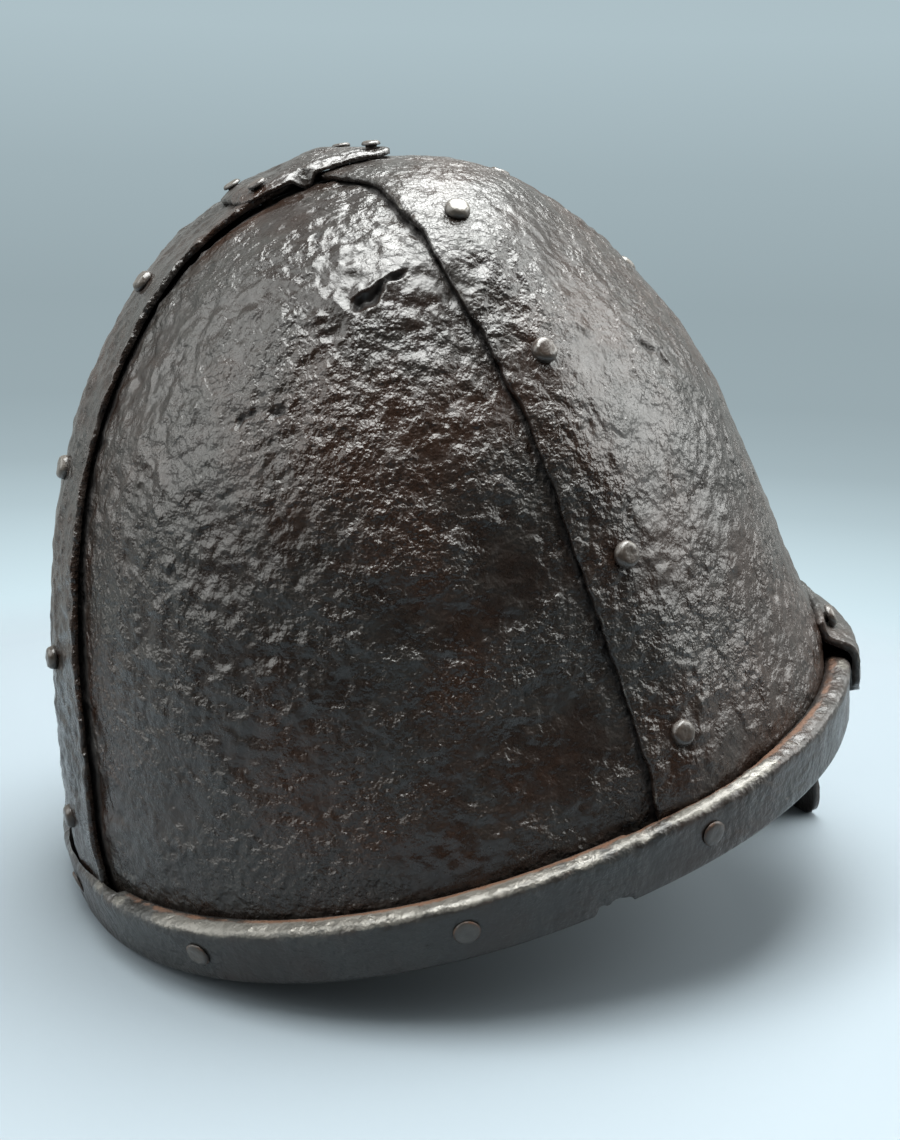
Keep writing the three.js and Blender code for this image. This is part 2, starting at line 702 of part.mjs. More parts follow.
function capRivets() {
  const size = { head: CAP_RIVET_HEAD, rise: CAP_RIVET_RISE };
  const along = 1 - CAP_RIVET_INSET / (CAP_LENGTH / 2);
  const across = 1 - CAP_RIVET_INSET / (CAP_WIDTH / 2);
  const corners = [[-1, -1], [-1, 1], [1, -1], [1, 1]];
  return corners.map(([front, left], i) => {
    const x = APEX_FORWARD - CAP_BACK + front * along * CAP_LENGTH / 2;
    const y = left * across * CAP_WIDTH / 2;
    const place = crownPlace(x, y);
    const rivet = crownRivet(`cap_rivet_${i + 1}`, place.angle, place.climb, size);
    rivet.outer = capStand(along, across) + CAP_PLATE;
    return rivet;
  });
}

// Materials
function iron(color, roughness) {
  return new THREE.MeshStandardMaterial({ color, roughness, metalness: 0.85 });
}

const plateIron = iron(0x2e2926, 0.45);
const bandIron = iron(0x33322f, 0.5);
const rivetIron = iron(0x3b3733, 0.42);

// Assembly
const rivets = [...seamRivets(), ...bandRivets(), ...nasalRivets(), ...capRivets()];
const holes = rivets.map((rivet) => rivetHole(rivet));

const pieces = [
  { name: "plate_front_right", solid: upperPlate(0), material: plateIron },
  { name: "plate_rear_left", solid: upperPlate(Math.PI), material: plateIron },
  { name: "plate_rear_right", solid: lowerPlate(0), material: plateIron },
  { name: "plate_front_left", solid: lowerPlate(Math.PI), material: plateIron },
  { name: "brow_band", solid: browBand(), material: bandIron },
  { name: "nasal_plate", solid: nasalArms().add(nasalBar()), material: bandIron },
  { name: "apex_cap", solid: apexCap(), material: plateIron },
];

const helmet = new THREE.Group();
for (const piece of pieces) {
  const mesh = new THREE.Mesh(toGeometry(cut(piece.solid, holes)), piece.material);
  mesh.name = piece.name;
  helmet.add(mesh);
}
for (const rivet of rivets) {
  const mesh = new THREE.Mesh(rivetShape(rivet), rivetIron);
  mesh.name = rivet.name;
  mesh.applyMatrix4(rivetFrame(rivet));
  helmet.add(mesh);
}

// Tilted back onto the rear of the rim and the tip of the nose guard, centred over the origin
helmet.rotation.y = -TILT;
helmet.position.z = -REAR_REST * Math.sin(TILT);
helmet.updateMatrixWorld(true);
const centre = new THREE.Box3().setFromObject(helmet, true).getCenter(new THREE.Vector3());
helmet.position.x = -centre.x;
helmet.position.y = -centre.y;

const part = new THREE.Group();
part.add(helmet);

export default part;
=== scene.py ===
# %% [markdown]
# A riveted iron helmet, finished in Blender
#
# The helmet is four crown plates riveted in lapped seams, a brow band, a T-shaped plate that carries
# the nose guard, and a small cap over the top. The construction model already has every piece at its
# real size. This lesson gives the pieces the surface that old forged iron has: hammer marks, pits,
# dents, worn edges and rust, first as real shape and then as shading.
#
# Everything starts from the frame, so that each fine piece sits exactly where the plain one is.

# %% Load the frame
import json
import math
from itertools import product

import bpy
import numpy as np
from mathutils import Matrix, Quaternion, Vector


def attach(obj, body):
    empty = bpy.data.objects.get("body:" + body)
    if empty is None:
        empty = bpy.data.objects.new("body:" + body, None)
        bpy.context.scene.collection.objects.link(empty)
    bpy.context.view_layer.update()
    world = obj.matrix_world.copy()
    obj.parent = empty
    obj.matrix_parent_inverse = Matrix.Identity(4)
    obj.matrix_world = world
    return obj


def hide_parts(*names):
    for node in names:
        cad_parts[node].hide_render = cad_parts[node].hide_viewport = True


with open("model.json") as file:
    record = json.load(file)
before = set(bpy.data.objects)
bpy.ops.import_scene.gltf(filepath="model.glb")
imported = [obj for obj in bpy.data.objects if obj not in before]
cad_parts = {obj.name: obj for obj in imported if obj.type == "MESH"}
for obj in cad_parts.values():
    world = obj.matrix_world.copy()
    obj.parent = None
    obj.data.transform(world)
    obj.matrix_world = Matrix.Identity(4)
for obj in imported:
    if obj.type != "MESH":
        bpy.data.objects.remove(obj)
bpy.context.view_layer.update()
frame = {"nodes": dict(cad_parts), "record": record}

# %% [markdown]
# The helmet's own frame
#
# A smith sees the helmet with its rim level, but it rests tilted back on the rear of its rim and the
# tip of its nose guard. All shapes are worked out with the rim level, in millimetres, and then tilted
# into place. The record's mount in the middle of the rim says where that frame lies.

# %% From the level helmet to the place where it stands
mounts = {mount["name"]: mount for mount in frame["record"]["mounts"]}
RIM_CENTRE = Vector(mounts["head_seat"]["pos_m"])
DOWN_THE_CROWN = Vector(mounts["head_seat"]["axis"])
TILT = math.atan2(DOWN_THE_CROWN.x, -DOWN_THE_CROWN.z)
MM = 0.001


def stand(points):
    """Points of the level helmet in millimetres, as places in the scene in metres."""
    points = np.asarray(points, float)
    x = points[..., 0] * math.cos(TILT) - points[..., 2] * math.sin(TILT)
    z = points[..., 0] * math.sin(TILT) + points[..., 2] * math.cos(TILT)
    return np.stack([x, points[..., 1], z], -1) * MM + np.array(RIM_CENTRE)


print("the helmet leans back", round(math.degrees(TILT), 1), "degrees")

# %% [markdown]
# The camera
#
# The photo was taken from the helmet's right, a little from behind and above, from under half a
# metre away. A camera that stands where the photographer's stood gives the same foreshortening, so
# its place was fitted to the rim, the seams and the outline together. The frame leans by a degree
# and a half, as a hand-held camera's does.

# %% Camera
CAMERA_PLACE = Vector((-0.1989, -0.4211, 0.1830))
CAMERA_AIM = Vector((-0.0073, 0.0, 0.0867))
CAMERA_ROLL = -1.53
LENS_FOR_LONG_SIDE = 52.45
SENSOR = 36
NEAREST = 0.01

camera_data = bpy.data.cameras.new("camera")
camera_data.sensor_width = SENSOR
camera_data.lens = LENS_FOR_LONG_SIDE
camera_data.clip_start = NEAREST
camera = bpy.data.objects.new("camera", camera_data)
bpy.context.scene.collection.objects.link(camera)
look = (CAMERA_AIM - CAMERA_PLACE).to_track_quat("-Z", "Y")
roll = Quaternion((0, 0, 1), math.radians(-CAMERA_ROLL))
camera.matrix_world = Matrix.Translation(CAMERA_PLACE) @ (look @ roll).to_matrix().to_4x4()
bpy.context.scene.camera = camera
print("camera stands", round((CAMERA_AIM - CAMERA_PLACE).length, 3), "m from its aim")

# %% [markdown]
# The crown's shape
#
# A forged crown is neither a ball nor a cone. It rises almost straight from the band and draws in
# quickly near the top, and seen from above it is a slightly squared oval. One table says how far the
# iron stands from the axis at each height, at the front, the side and the rear, and a smooth curve
# runs through each column.

# %% Sizes and the table of the crown, in millimetres
RIM_LENGTH = 223
RIM_WIDTH = 218
PLAN_FULLNESS = 2.18
CROWN_HEIGHT = 171
APEX_FORWARD = 4
PLATE = 2.0
CLEARANCE = 0.3
BAND_HEIGHT = 16.5
BAND_WALL = 4.2
LAP = PLATE + CLEARANCE
SKIN_LENGTH = RIM_LENGTH / 2 - BAND_WALL - CLEARANCE
SKIN_WIDTH = RIM_WIDTH / 2 - BAND_WALL - CLEARANCE
QUARTER = math.pi / 2
FULL_TURN = math.pi * 2

CROWN_PROFILE = [
    {"rise": 0.00, "front": 1.00, "side": 1.00, "rear": 1.00},
    {"rise": 0.20, "front": 0.95, "side": 0.94, "rear": 0.96},
    {"rise": 0.40, "front": 0.88, "side": 0.89, "rear": 0.89},
    {"rise": 0.60, "front": 0.79, "side": 0.81, "rear": 0.78},
    {"rise": 0.75, "front": 0.66, "side": 0.69, "rear": 0.65},
    {"rise": 0.88, "front": 0.46, "side": 0.56, "rear": 0.46},
    {"rise": 0.96, "front": 0.26, "side": 0.36, "rear": 0.25},
    {"rise": 1.00, "front": 0.00, "side": 0.00, "rear": 0.00},
]

print("plate skin at the rim:", 2 * SKIN_LENGTH, "by", 2 * SKIN_WIDTH, "mm")

# %% A smooth curve through a column


def column(table, name, power=1):
    """A smooth curve through one column of a table, with even slopes where two stretches meet."""
    heights = np.array([row["rise"] for row in table])
    values = np.array([row[name] ** power for row in table])
    heights = np.concatenate([[2 * heights[0] - heights[1]], heights, [2 * heights[-1] - heights[-2]]])
    values = np.concatenate([[values[1]], values, [values[-2]]])

    def curve(rise):
        rise = np.asarray(rise, float)
        i = np.clip(np.searchsorted(heights, rise, side="right"), 2, len(heights) - 2)
        before, start, stop, after = heights[i - 2], heights[i - 1], heights[i], heights[i + 1]
        half = (stop - start) / 2
        p = (rise - start) / (stop - start)
        wp = half / (start - before)
        wn = half / (after - stop)
        low = -wp * p**3 + 2 * wp * p**2 - wp * p
        a = (1 + wp) * p**3 + (-1.5 - 2 * wp) * p**2 + (-0.5 + wp) * p + 1
        b = (-1 - wn) * p**3 + (1.5 + wn) * p**2 + 0.5 * p
        high = wn * p**3 - wn * p**2
        return low * values[i - 2] + a * values[i - 1] + b * values[i] + high * values[i + 1]

    return curve


profile = {side: column(CROWN_PROFILE, side, 2) for side in ("front", "side", "rear")}
print("half way up, the side stands out by", round(float(profile["side"](0.5)) ** 0.5, 3))

# %% [markdown]
# Places on the crown
#
# The crown is a rule here and not a mesh, so that any place on it can be asked for. An angle says
# where round the axis. A climb says how high: -1 at the rim, 0 at the top of the band and 1 at the
# apex. It runs like the angle of a quarter circle, which keeps rows of points evenly spaced over the
# top, where the iron lies almost flat.

# %% Heights and climbs


def rise_at(climb):
    return np.sin(np.maximum(climb, 0) * QUARTER)


def climb_at(rise):
    return np.arcsin(rise) / QUARTER


def climb_at_height(height):
    if height < BAND_HEIGHT:
        return height / BAND_HEIGHT - 1
    return float(climb_at((height - BAND_HEIGHT) / (CROWN_HEIGHT - BAND_HEIGHT)))


print("a climb of one half is", round(float(rise_at(0.5)), 2), "of the crown's height")

# %% Points and normals of the crown
NORMAL_STEP = 0.002


def fullness(angle):
    n = PLAN_FULLNESS
    return (np.abs(np.cos(angle)) ** n + np.abs(np.sin(angle)) ** n) ** (-1 / n)


def crown_share(angle, climb):
    front = np.maximum(np.cos(angle), 0) ** 2
    rear = np.maximum(-np.cos(angle), 0) ** 2
    rise = rise_at(climb)
    square = front * profile["front"](rise) + rear * profile["rear"](rise)
    square = square + (1 - front - rear) * profile["side"](rise)
    return np.sqrt(np.maximum(square, 0))


def skin_point(angle, climb):
    angle, climb = np.broadcast_arrays(np.asarray(angle, float), np.asarray(climb, float))
    reach = fullness(angle) * crown_share(angle, climb)
    x = SKIN_LENGTH * reach * np.cos(angle) + APEX_FORWARD * rise_at(climb)
    y = SKIN_WIDTH * reach * np.sin(angle)
    low = BAND_HEIGHT * (1 + climb)
    high = BAND_HEIGHT + (CROWN_HEIGHT - BAND_HEIGHT) * rise_at(climb)
    return np.stack([x, y, np.where(climb < 0, low, high)], -1)


def skin_normal(angle, climb):
    step = NORMAL_STEP
    around = skin_point(angle + step, climb) - skin_point(angle - step, climb)
    up = skin_point(angle, climb + step) - skin_point(angle, climb - step)
    normal = np.cross(around, up)
    return normal / np.linalg.norm(normal, axis=-1, keepdims=True)


print("crown over the band:", CROWN_HEIGHT - BAND_HEIGHT, "mm high")

# %% [markdown]
# The lapped seams
#
# At each seam one plate lies over its neighbour and the rivets go through both. The upper plate is
# folded down behind the rivets, which leaves a crease along them. The edges wander, because they
# were cut by eye, so a second table follows each edge from the band to the top.

# %% Seams
SIDE_SEAM_OFFSET = 8.5
END_SEAM_OFFSET = 23
SIDE_RIVET_INSET = 11.2
END_RIVET_INSET = 19.5
UNDER_MARGIN = 5.5
CROWN_MOUTH = 14.5
FULL_STRIP_RADIUS = 52
WIDEST_SINE = 0.985

SEAM_SHAPE = [
    {"rise": 0.00, "side": 1.00, "end": 1.00},
    {"rise": 0.18, "side": 1.02, "end": 0.95},
    {"rise": 0.42, "side": 0.72, "end": 0.71},
    {"rise": 0.64, "side": 0.50, "end": 0.52},
    {"rise": 0.80, "side": 0.17, "end": 0.46},
    {"rise": 0.93, "side": -0.10, "end": 0.39},
    {"rise": 0.98, "side": -0.34, "end": 0.50},
    {"rise": 1.00, "side": -1.50, "end": 0.12},
]
seam_shape = {kind: column(SEAM_SHAPE, kind) for kind in ("side", "end")}
SEAM_OFFSET = {"side": SIDE_SEAM_OFFSET, "end": END_SEAM_OFFSET}


def axis_distance(meridian, climb):
    point = skin_point(meridian, climb)
    return np.hypot(point[..., 0] - APEX_FORWARD * rise_at(climb), point[..., 1])


def strip_radius(meridian, climb):
    return np.maximum(axis_distance(meridian, climb), FULL_STRIP_RADIUS)


def seam_angle(meridian, kind, climb):
    offset = SEAM_OFFSET[kind] * seam_shape[kind](rise_at(climb))
    sine = np.minimum(WIDEST_SINE, offset / axis_distance(meridian, climb))
    return meridian + np.arcsin(sine)


at_band = math.degrees(float(seam_angle(0, "end", 0)))
print("the end seams leave the band", round(at_band, 1), "degrees past their meridian")

# %% [markdown]
# The fold along a seam
#
# The upper plate lies one plate and a gap higher than the lower one along the seam, swells to a low
# ridge at the rivets and comes down to the skin behind the lower plate's hidden edge. A few stops
# joined by straight lines are enough, because the bend in forged iron is quite sharp. Near the top
# all the folds run together, so there the lift fades into one even height.

# %% How high the upper plates lie
FOLD_RUN = 16
FOLD_PAST = 1
RIDGE_LIFT = 1.2
TOP_STARTS = 0.8
TOP_BLEND = 0.14


def fold_lift(inset, distance):
    """How far the upper plate stands off at a distance from its edge, as a share of the lap."""
    past = inset + UNDER_MARGIN + FOLD_PAST
    stops = [0, inset / 2, inset, past, past + FOLD_RUN]
    return np.interp(distance, stops, [1, 1, RIDGE_LIFT, 1, 0])


def upper_span(turn, climb):
    return {
        "start": seam_angle(turn - QUARTER, "side", climb),
        "end": seam_angle(turn, "end", climb),
        "side_radius": strip_radius(turn - QUARTER, climb),
        "end_radius": strip_radius(turn, climb),
    }


def upper_lift(span, angle, climb):
    from_side = (angle - span["start"]) * span["side_radius"]
    from_end = (span["end"] - angle) * span["end_radius"]
    lift = np.maximum(fold_lift(SIDE_RIVET_INSET, from_side), fold_lift(END_RIVET_INSET, from_end))
    top = np.clip((rise_at(climb) - TOP_STARTS) / TOP_BLEND, 0, 1)
    top = top * top * (3 - 2 * top)
    return lift + (RIDGE_LIFT - lift) * top


def lower_span(turn, climb):
    end = turn + math.pi
    side = turn + math.pi + QUARTER
    end_reach = (END_RIVET_INSET + UNDER_MARGIN) / strip_radius(end, climb)
    side_reach = (SIDE_RIVET_INSET + UNDER_MARGIN) / strip_radius(side, climb)
    return {
        "start": seam_angle(end, "end", climb) - end_reach,
        "end": seam_angle(side, "side", climb) + side_reach,
    }


def outermost(angle, climb):
    """The highest plate face at each place, measured from the skin."""
    angle, climb = np.broadcast_arrays(np.asarray(angle, float), np.asarray(climb, float))
    face = np.zeros(angle.shape)
    for turn in (0, math.pi):
        span = upper_span(turn, climb)
        inside = np.mod(angle - span["start"], FULL_TURN)
        lift = upper_lift(span, span["start"] + inside, climb)
        face = np.where(inside <= span["end"] - span["start"], np.maximum(face, lift * LAP), face)
    return face


highest = outermost(np.linspace(-math.pi, math.pi, 721), 0.3).max()
print("the upper plates stand up to", round(float(highest), 2), "mm off the skin")

# %% [markdown]
# Lumps
#
# Forged iron is uneven at every scale: broad hammer marks a thumb wide, smaller planishing marks,
# and the grain that rust leaves. Each scale is smooth random noise in space, so it carries on across
# a seam and has no repeat. The noise is a fixed function of place, so every run gives the same helmet.

# %% Smooth noise in space
LATTICE_TURN = np.array(Matrix.Rotation(0.7, 3, Vector((1, 2, 3)).normalized()))
LATTICE_SHIFT = 100

# large primes and masks that stir a corner's place into a number that looks random
AXIS_PRIMES = (73856093, 19349663, 83492791)
SEED_PRIME = 2654435761
STIR_PRIMES = (2246822519, 3266489917)
ALL_BITS = 0xFFFFFFFF
LOW_BITS = 0xFFFF


def lattice(corner, seed):
    """A fixed random number between -1 and 1 for each corner of a cubic lattice."""
    x, y, z = (corner[..., i] * prime for i, prime in enumerate(AXIS_PRIMES))
    mixed = ((x ^ y ^ z) ^ (seed * SEED_PRIME)) & ALL_BITS
    mixed = ((mixed ^ (mixed >> 15)) * STIR_PRIMES[0]) & ALL_BITS
    mixed = ((mixed ^ (mixed >> 13)) * STIR_PRIMES[1]) & ALL_BITS
    return ((mixed ^ (mixed >> 16)) & LOW_BITS) / (LOW_BITS / 2) - 1


def lumps(points, size, seed):
    """Smooth random lumps about one size across, between -1 and 1."""
    cell = points @ LATTICE_TURN.T / size + LATTICE_SHIFT
    base = np.floor(cell).astype(np.int64)
    part = cell - base
    part = part * part * (3 - 2 * part)
    total = 0
    for corner in product((0, 1), repeat=3):
        share = np.where(np.array(corner) == 1, part, 1 - part).prod(-1)
        total = total + share * lattice(base + np.array(corner), seed)
    return total


line = np.stack([np.linspace(0, 100, 1001), np.zeros(1001), np.zeros(1001)], -1)
print("lumps along a line lie between", lumps(line, 5, 1).min(), "and", lumps(line, 5, 1).max())

# %% Relief of forged iron
# each layer's height and width, in millimetres
RELIEF = {
    "broad": {"high": 0.40, "wide": 24},
    "marks": {"high": 0.24, "wide": 10},
    "blister": {"high": 0.30, "wide": 5.2},
    "crust": {"high": 0.34, "wide": 3.6},
    "grit": {"high": 0.20, "wide": 2.1},
}
# how much stronger or weaker the fine layers are from place to place
PATCHY = {"mean": 0.95, "swing": 0.8, "wide": 34, "least": 0.6, "most": 1.5}


def layer(name, points, seed):
    return lumps(points, RELIEF[name]["wide"], seed)


def forged(points, seed, strength=1.0):
    """Relief of hammered and corroded iron, in millimetres."""
    high = {name: row["high"] for name, row in RELIEF.items()}
    broad = high["broad"] * layer("broad", points, seed)
    marks = high["marks"] * layer("marks", points, seed + 1)
    swing = PATCHY["swing"] * lumps(points, PATCHY["wide"], seed + 5)
    patch = np.clip(PATCHY["mean"] + swing, PATCHY["least"], PATCHY["most"])
    blister = high["blister"] * (0.5 - np.abs(layer("blister", points, seed + 2)))
    crust = high["crust"] * layer("crust", points, seed + 3)
    grit = high["grit"] * layer("grit", points, seed + 4)
    return strength * (broad + marks + patch * (blister + crust + grit))


print("relief along the line reaches", round(float(forged(line, 1).max()), 2), "mm")


# %% [markdown]
# Dents that the helmet has
#
# Beside the even texture there are marks that make it this helmet: a torn gash high on the rear
# right plate, a curved dent on the front one and a few deep pits. Each is a row in a table, placed by
# its angle and its height on the crown. A dent is pressed in along the plate's normal and pushes up a
# low lip around it, as iron does. Bending its outline with the same lumps keeps it from looking drawn.

# %% Table of marks
MARKS = [
    {"angle": -107.0, "rise": 0.829, "long": 2.2, "wide": 1.5, "deep": 2.0, "slant": 20},
    {"angle": -103.6, "rise": 0.834, "long": 2.8, "wide": 1.1, "deep": 2.2, "slant": 42},
    {"angle": -99.4, "rise": 0.849, "long": 2.8, "wide": 0.8, "deep": 1.7, "slant": 15},
    {"angle": -132.0, "rise": 0.708, "long": 2.1, "wide": 1.0, "deep": 1.1, "slant": 60},
    {"angle": -129.6, "rise": 0.716, "long": 1.5, "wide": 0.8, "deep": 0.8, "slant": 10},
    {"angle": -125.0, "rise": 0.712, "long": 2.0, "wide": 0.9, "deep": 1.0, "slant": 35},
    {"angle": -114.5, "rise": 0.926, "long": 1.4, "wide": 0.9, "deep": 0.9, "slant": 20},
    {"angle": -145.3, "rise": 0.514, "long": 1.7, "wide": 1.2, "deep": 0.8, "slant": 70},
    {"angle": -149.5, "rise": 0.091, "long": 1.3, "wide": 1.0, "deep": 0.7, "slant": 0},
    {"angle": -146.4, "rise": 0.215, "long": 1.1, "wide": 0.9, "deep": 0.5, "slant": 0},
    {"angle": -98.0, "rise": 0.248, "long": 1.3, "wide": 0.7, "deep": 0.6, "slant": 30},
    {"angle": -55.5, "rise": 0.640, "long": 3.4, "wide": 0.9, "deep": 0.9, "slant": -50},
    {"angle": -53.0, "rise": 0.612, "long": 2.6, "wide": 0.9, "deep": 0.8, "slant": -80},
    {"angle": -75.9, "rise": 0.447, "long": 2.0, "wide": 0.7, "deep": 0.5, "slant": 60},
    {"angle": 140.0, "rise": 0.55, "long": 5.0, "wide": 2.6, "deep": 1.1, "slant": 20},
    {"angle": 60.0, "rise": 0.70, "long": 4.4, "wide": 2.0, "deep": 1.2, "slant": -40},
    {"angle": 25.0, "rise": 0.40, "long": 3.6, "wide": 2.4, "deep": 0.9, "slant": 70},
]
print(len(MARKS), "marks in the table")

# %% Pressing the marks in
LIP = {"high": 0.12, "out": 1.6, "soft": 0.3}
REACH_OF_MARK = 4
BEND = {"by": 0.9, "wide": 2.4, "seed": 31}


def press(points, centre, along, across, long, wide, deep):
    """Depth of one mark at every point, with a low lip pushed up round it."""
    offset = points - centre
    u = offset @ along / long
    v = offset @ across / wide
    distance = np.sqrt(u * u + v * v)
    bowl = np.exp(-distance**3)
    lip = LIP["high"] * np.exp(-((distance - LIP["out"]) ** 2) / LIP["soft"])
    return deep * (bowl - lip)


def mark_depth(points):
    depth = np.zeros(points.shape[:-1])
    for row in MARKS:
        angle = math.radians(row["angle"])
        climb = float(climb_at(row["rise"]))
        centre = skin_point(angle, climb)
        around = skin_point(angle + 0.01, climb) - centre
        around = around / np.linalg.norm(around)
        up = np.cross(skin_normal(angle, climb), around)
        slant = math.radians(row["slant"])
        along = around * math.cos(slant) + up * math.sin(slant)
        across = up * math.cos(slant) - around * math.sin(slant)
        near = np.linalg.norm(points - centre, axis=-1) < REACH_OF_MARK * row["long"]
        bend = BEND["by"] * lumps(points[near], BEND["wide"], BEND["seed"])
        bent = points[near] + bend[:, None] * across
        depth[near] += press(bent, centre, along, across, row["long"], row["wide"], row["deep"])
    return depth


print("deepest mark:", max(row["deep"] for row in MARKS), "mm")

# %% [markdown]
# Corrosion pits
#
# Rust also eats small round pits into the iron, more than anyone would place by hand. They are
# scattered at random over the whole crown, with a fixed seed so that every run scatters them alike.

# %% Pits
PIT_COUNT = 420
PIT_SEED = 11
PIT_RISES = (0.02, 0.985)
PIT_SIZES = (0.6, 1.5)
PIT_SIZE_CHANGE = (0.7, 1.3)
PIT_DEPTH_CHANGE = (0.5, 1.2)
PIT_DEPTH_SHARE = 0.26
REACH_OF_PIT = 3


def pit_depth(points):
    """Scattered corrosion pits, each a small round bowl."""
    dice = np.random.default_rng(PIT_SEED)
    angles = dice.uniform(-math.pi, math.pi, PIT_COUNT)
    rises = dice.uniform(*PIT_RISES, PIT_COUNT)
    centres = skin_point(angles, climb_at(rises))
    sizes = dice.uniform(*PIT_SIZES, PIT_COUNT) * dice.uniform(*PIT_SIZE_CHANGE, PIT_COUNT)
    depths = PIT_DEPTH_SHARE * sizes * dice.uniform(*PIT_DEPTH_CHANGE, PIT_COUNT)
    depth = np.zeros(points.shape[:-1])
    for centre, size, deep in zip(centres, sizes, depths):
        offset = points - centre
        near = (np.abs(offset) < REACH_OF_PIT * size).all(-1)
        distance = np.linalg.norm(offset[near], axis=-1) / size
        depth[near] += deep * np.exp(-distance**3)
    return depth


print(PIT_COUNT, "pits, up to", PIT_SIZES[1] * PIT_SIZE_CHANGE[1], "mm in radius")

# %% [markdown]
# Building a plate
#
# A plate is a bent sheet: a fine grid of points on its outer face, a coarser grid on the inner face
# that nobody sees closely, and an edge that joins them. The outer grid is fine enough, under a
# millimetre, for the relief to be real shape. Each point also stores how worn and rusty it is, and
# how dark dirt or painted shade makes it, for the material to read.

# %% Adding a piece
def no_marks(*shape):
    """How bare, rusty and dark with dirt or painted shade each point is: none, until a piece says
    otherwise.
    """
    marks = np.zeros((*shape, 4))
    marks[..., 3] = 1
    return marks


def add_piece(name, points, faces, marks, slot, *nodes):
    """A smooth mesh object that stands for its plain nodes and rides with the helmet."""
    mesh = bpy.data.meshes.new(name)
    mesh.from_pydata(np.asarray(stand(points)).tolist(), [], faces)
    mesh.update()
    layer = mesh.attributes.new("marks", "FLOAT_COLOR", "POINT")
    layer.data.foreach_set("color", np.asarray(marks, np.float32).ravel())
    mesh.shade_smooth()
    piece = bpy.data.objects.new(name, mesh)
    bpy.context.scene.collection.objects.link(piece)
    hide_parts(*nodes)
    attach(piece, "root")
    print(name, "has", len(mesh.polygons), "faces")
    return piece


# %% Sheet with a fine outside and a coarse inside
COARSE = 4


def grid_faces(rows, columns, first, flip):
    i, j = np.meshgrid(np.arange(rows - 1), np.arange(columns - 1), indexing="ij")
    a = first + i * columns + j
    corners = [a, a + 1, a + columns + 1, a + columns]
    if flip:
        corners = corners[::-1]
    return np.stack(corners, -1).reshape(-1, 4).tolist()


def border(rows, columns, first, step):
    """The points round a grid's edge in order, every step-th one."""
    low = [first + j for j in range(0, columns - 1, step)]
    right = [first + i * columns + columns - 1 for i in range(0, rows - 1, step)]
    high = [first + (rows - 1) * columns + j for j in range(columns - 1, 0, -step)]
    left = [first + i * columns for i in range(rows - 1, 0, -step)]
    return low + right + high + left


def sheet_faces(rows, columns):
    """Faces of a sheet whose inner grid has one point for every COARSE outer ones."""
    inner_rows = (rows - 1) // COARSE + 1
    inner_columns = (columns - 1) // COARSE + 1
    first_inner = rows * columns
    faces = grid_faces(rows, columns, 0, False)
    faces += grid_faces(inner_rows, inner_columns, first_inner, True)
    outer_edge = border(rows, columns, 0, 1)
    inner_edge = border(inner_rows, inner_columns, first_inner, 1)
    count = len(inner_edge)
    for k in range(count):
        here = inner_edge[k]
        after = inner_edge[(k + 1) % count]
        run = [outer_edge[(k * COARSE + m) % len(outer_edge)] for m in range(COARSE + 1)]
        half = COARSE // 2
        for m in range(COARSE):
            faces.append((run[m + 1], run[m], here if m < half else after))
        faces.append((run[half], here, after))
    return faces


def sheet_points(outer, inner):
    return np.concatenate([outer.reshape(-1, 3), inner[::COARSE, ::COARSE].reshape(-1, 3)])


print("a sheet of 5 by 5 points has", len(sheet_faces(5, 5)), "faces")

# %% [markdown]
# The grid of a crown plate
#
# Each plate runs from behind the band up to the small hole at the top, and from one seam's edge to
# the next. Its rows and columns follow the crown, so they draw together near the top, as the plate
# itself does. The edges are then pushed in and out a little, because they were cut with a chisel.

# %% Grid of a plate
FINE_ROWS = 313
FINE_COLUMNS = 277
ROWS_IN_BAND = 17
PLATE_FOOT = 2.5
CLIMBS_TRIED = 4001
EDGE_WANDER = 0.7
EDGE_SHIFT = 0.9
EDGE_WAVES = {"wide": 7, "narrow": 2.5, "share": 0.7, "fades_in": 3}


def top_climb():
    climbs = np.linspace(0, 1, CLIMBS_TRIED)
    return climbs[axis_distance(-QUARTER, climbs) > CROWN_MOUTH].max()


def plate_grid(span_of, turn):
    """Angles, climbs and the distance of each point from the two side edges, in millimetres."""
    foot = climb_at_height(PLATE_FOOT)
    climbs = np.concatenate([
        np.linspace(foot, 0, ROWS_IN_BAND)[:-1],
        np.linspace(0, top_climb(), FINE_ROWS - ROWS_IN_BAND + 1),
    ])[:, None]
    span = span_of(turn, climbs)
    share = np.linspace(0, 1, FINE_COLUMNS)[None, :]
    angles = span["start"] + (span["end"] - span["start"]) * share
    radius = axis_distance(angles, climbs)
    from_start = (angles - span["start"]) * radius
    from_end = (span["end"] - angles) * radius
    return angles, climbs, span, np.minimum(from_start, from_end), from_start < from_end


def ragged(angles, climbs, near_edge, at_start, seed):
    """Moves the points near an edge along the plate, so that the edge looks cut by hand."""
    points = skin_point(angles, climbs)
    radius = np.maximum(axis_distance(angles, climbs), 1)
    small = EDGE_WAVES["share"] * lumps(points, EDGE_WAVES["narrow"], seed + 1)
    wander = lumps(points, EDGE_WAVES["wide"], seed) + small
    fade = np.exp(-near_edge / EDGE_WAVES["fades_in"])
    inwards = np.where(at_start, 1, -1)
    return angles + inwards * EDGE_WANDER * (wander + EDGE_SHIFT) * fade / radius


print("the plates end at a climb of", round(float(top_climb()), 3))
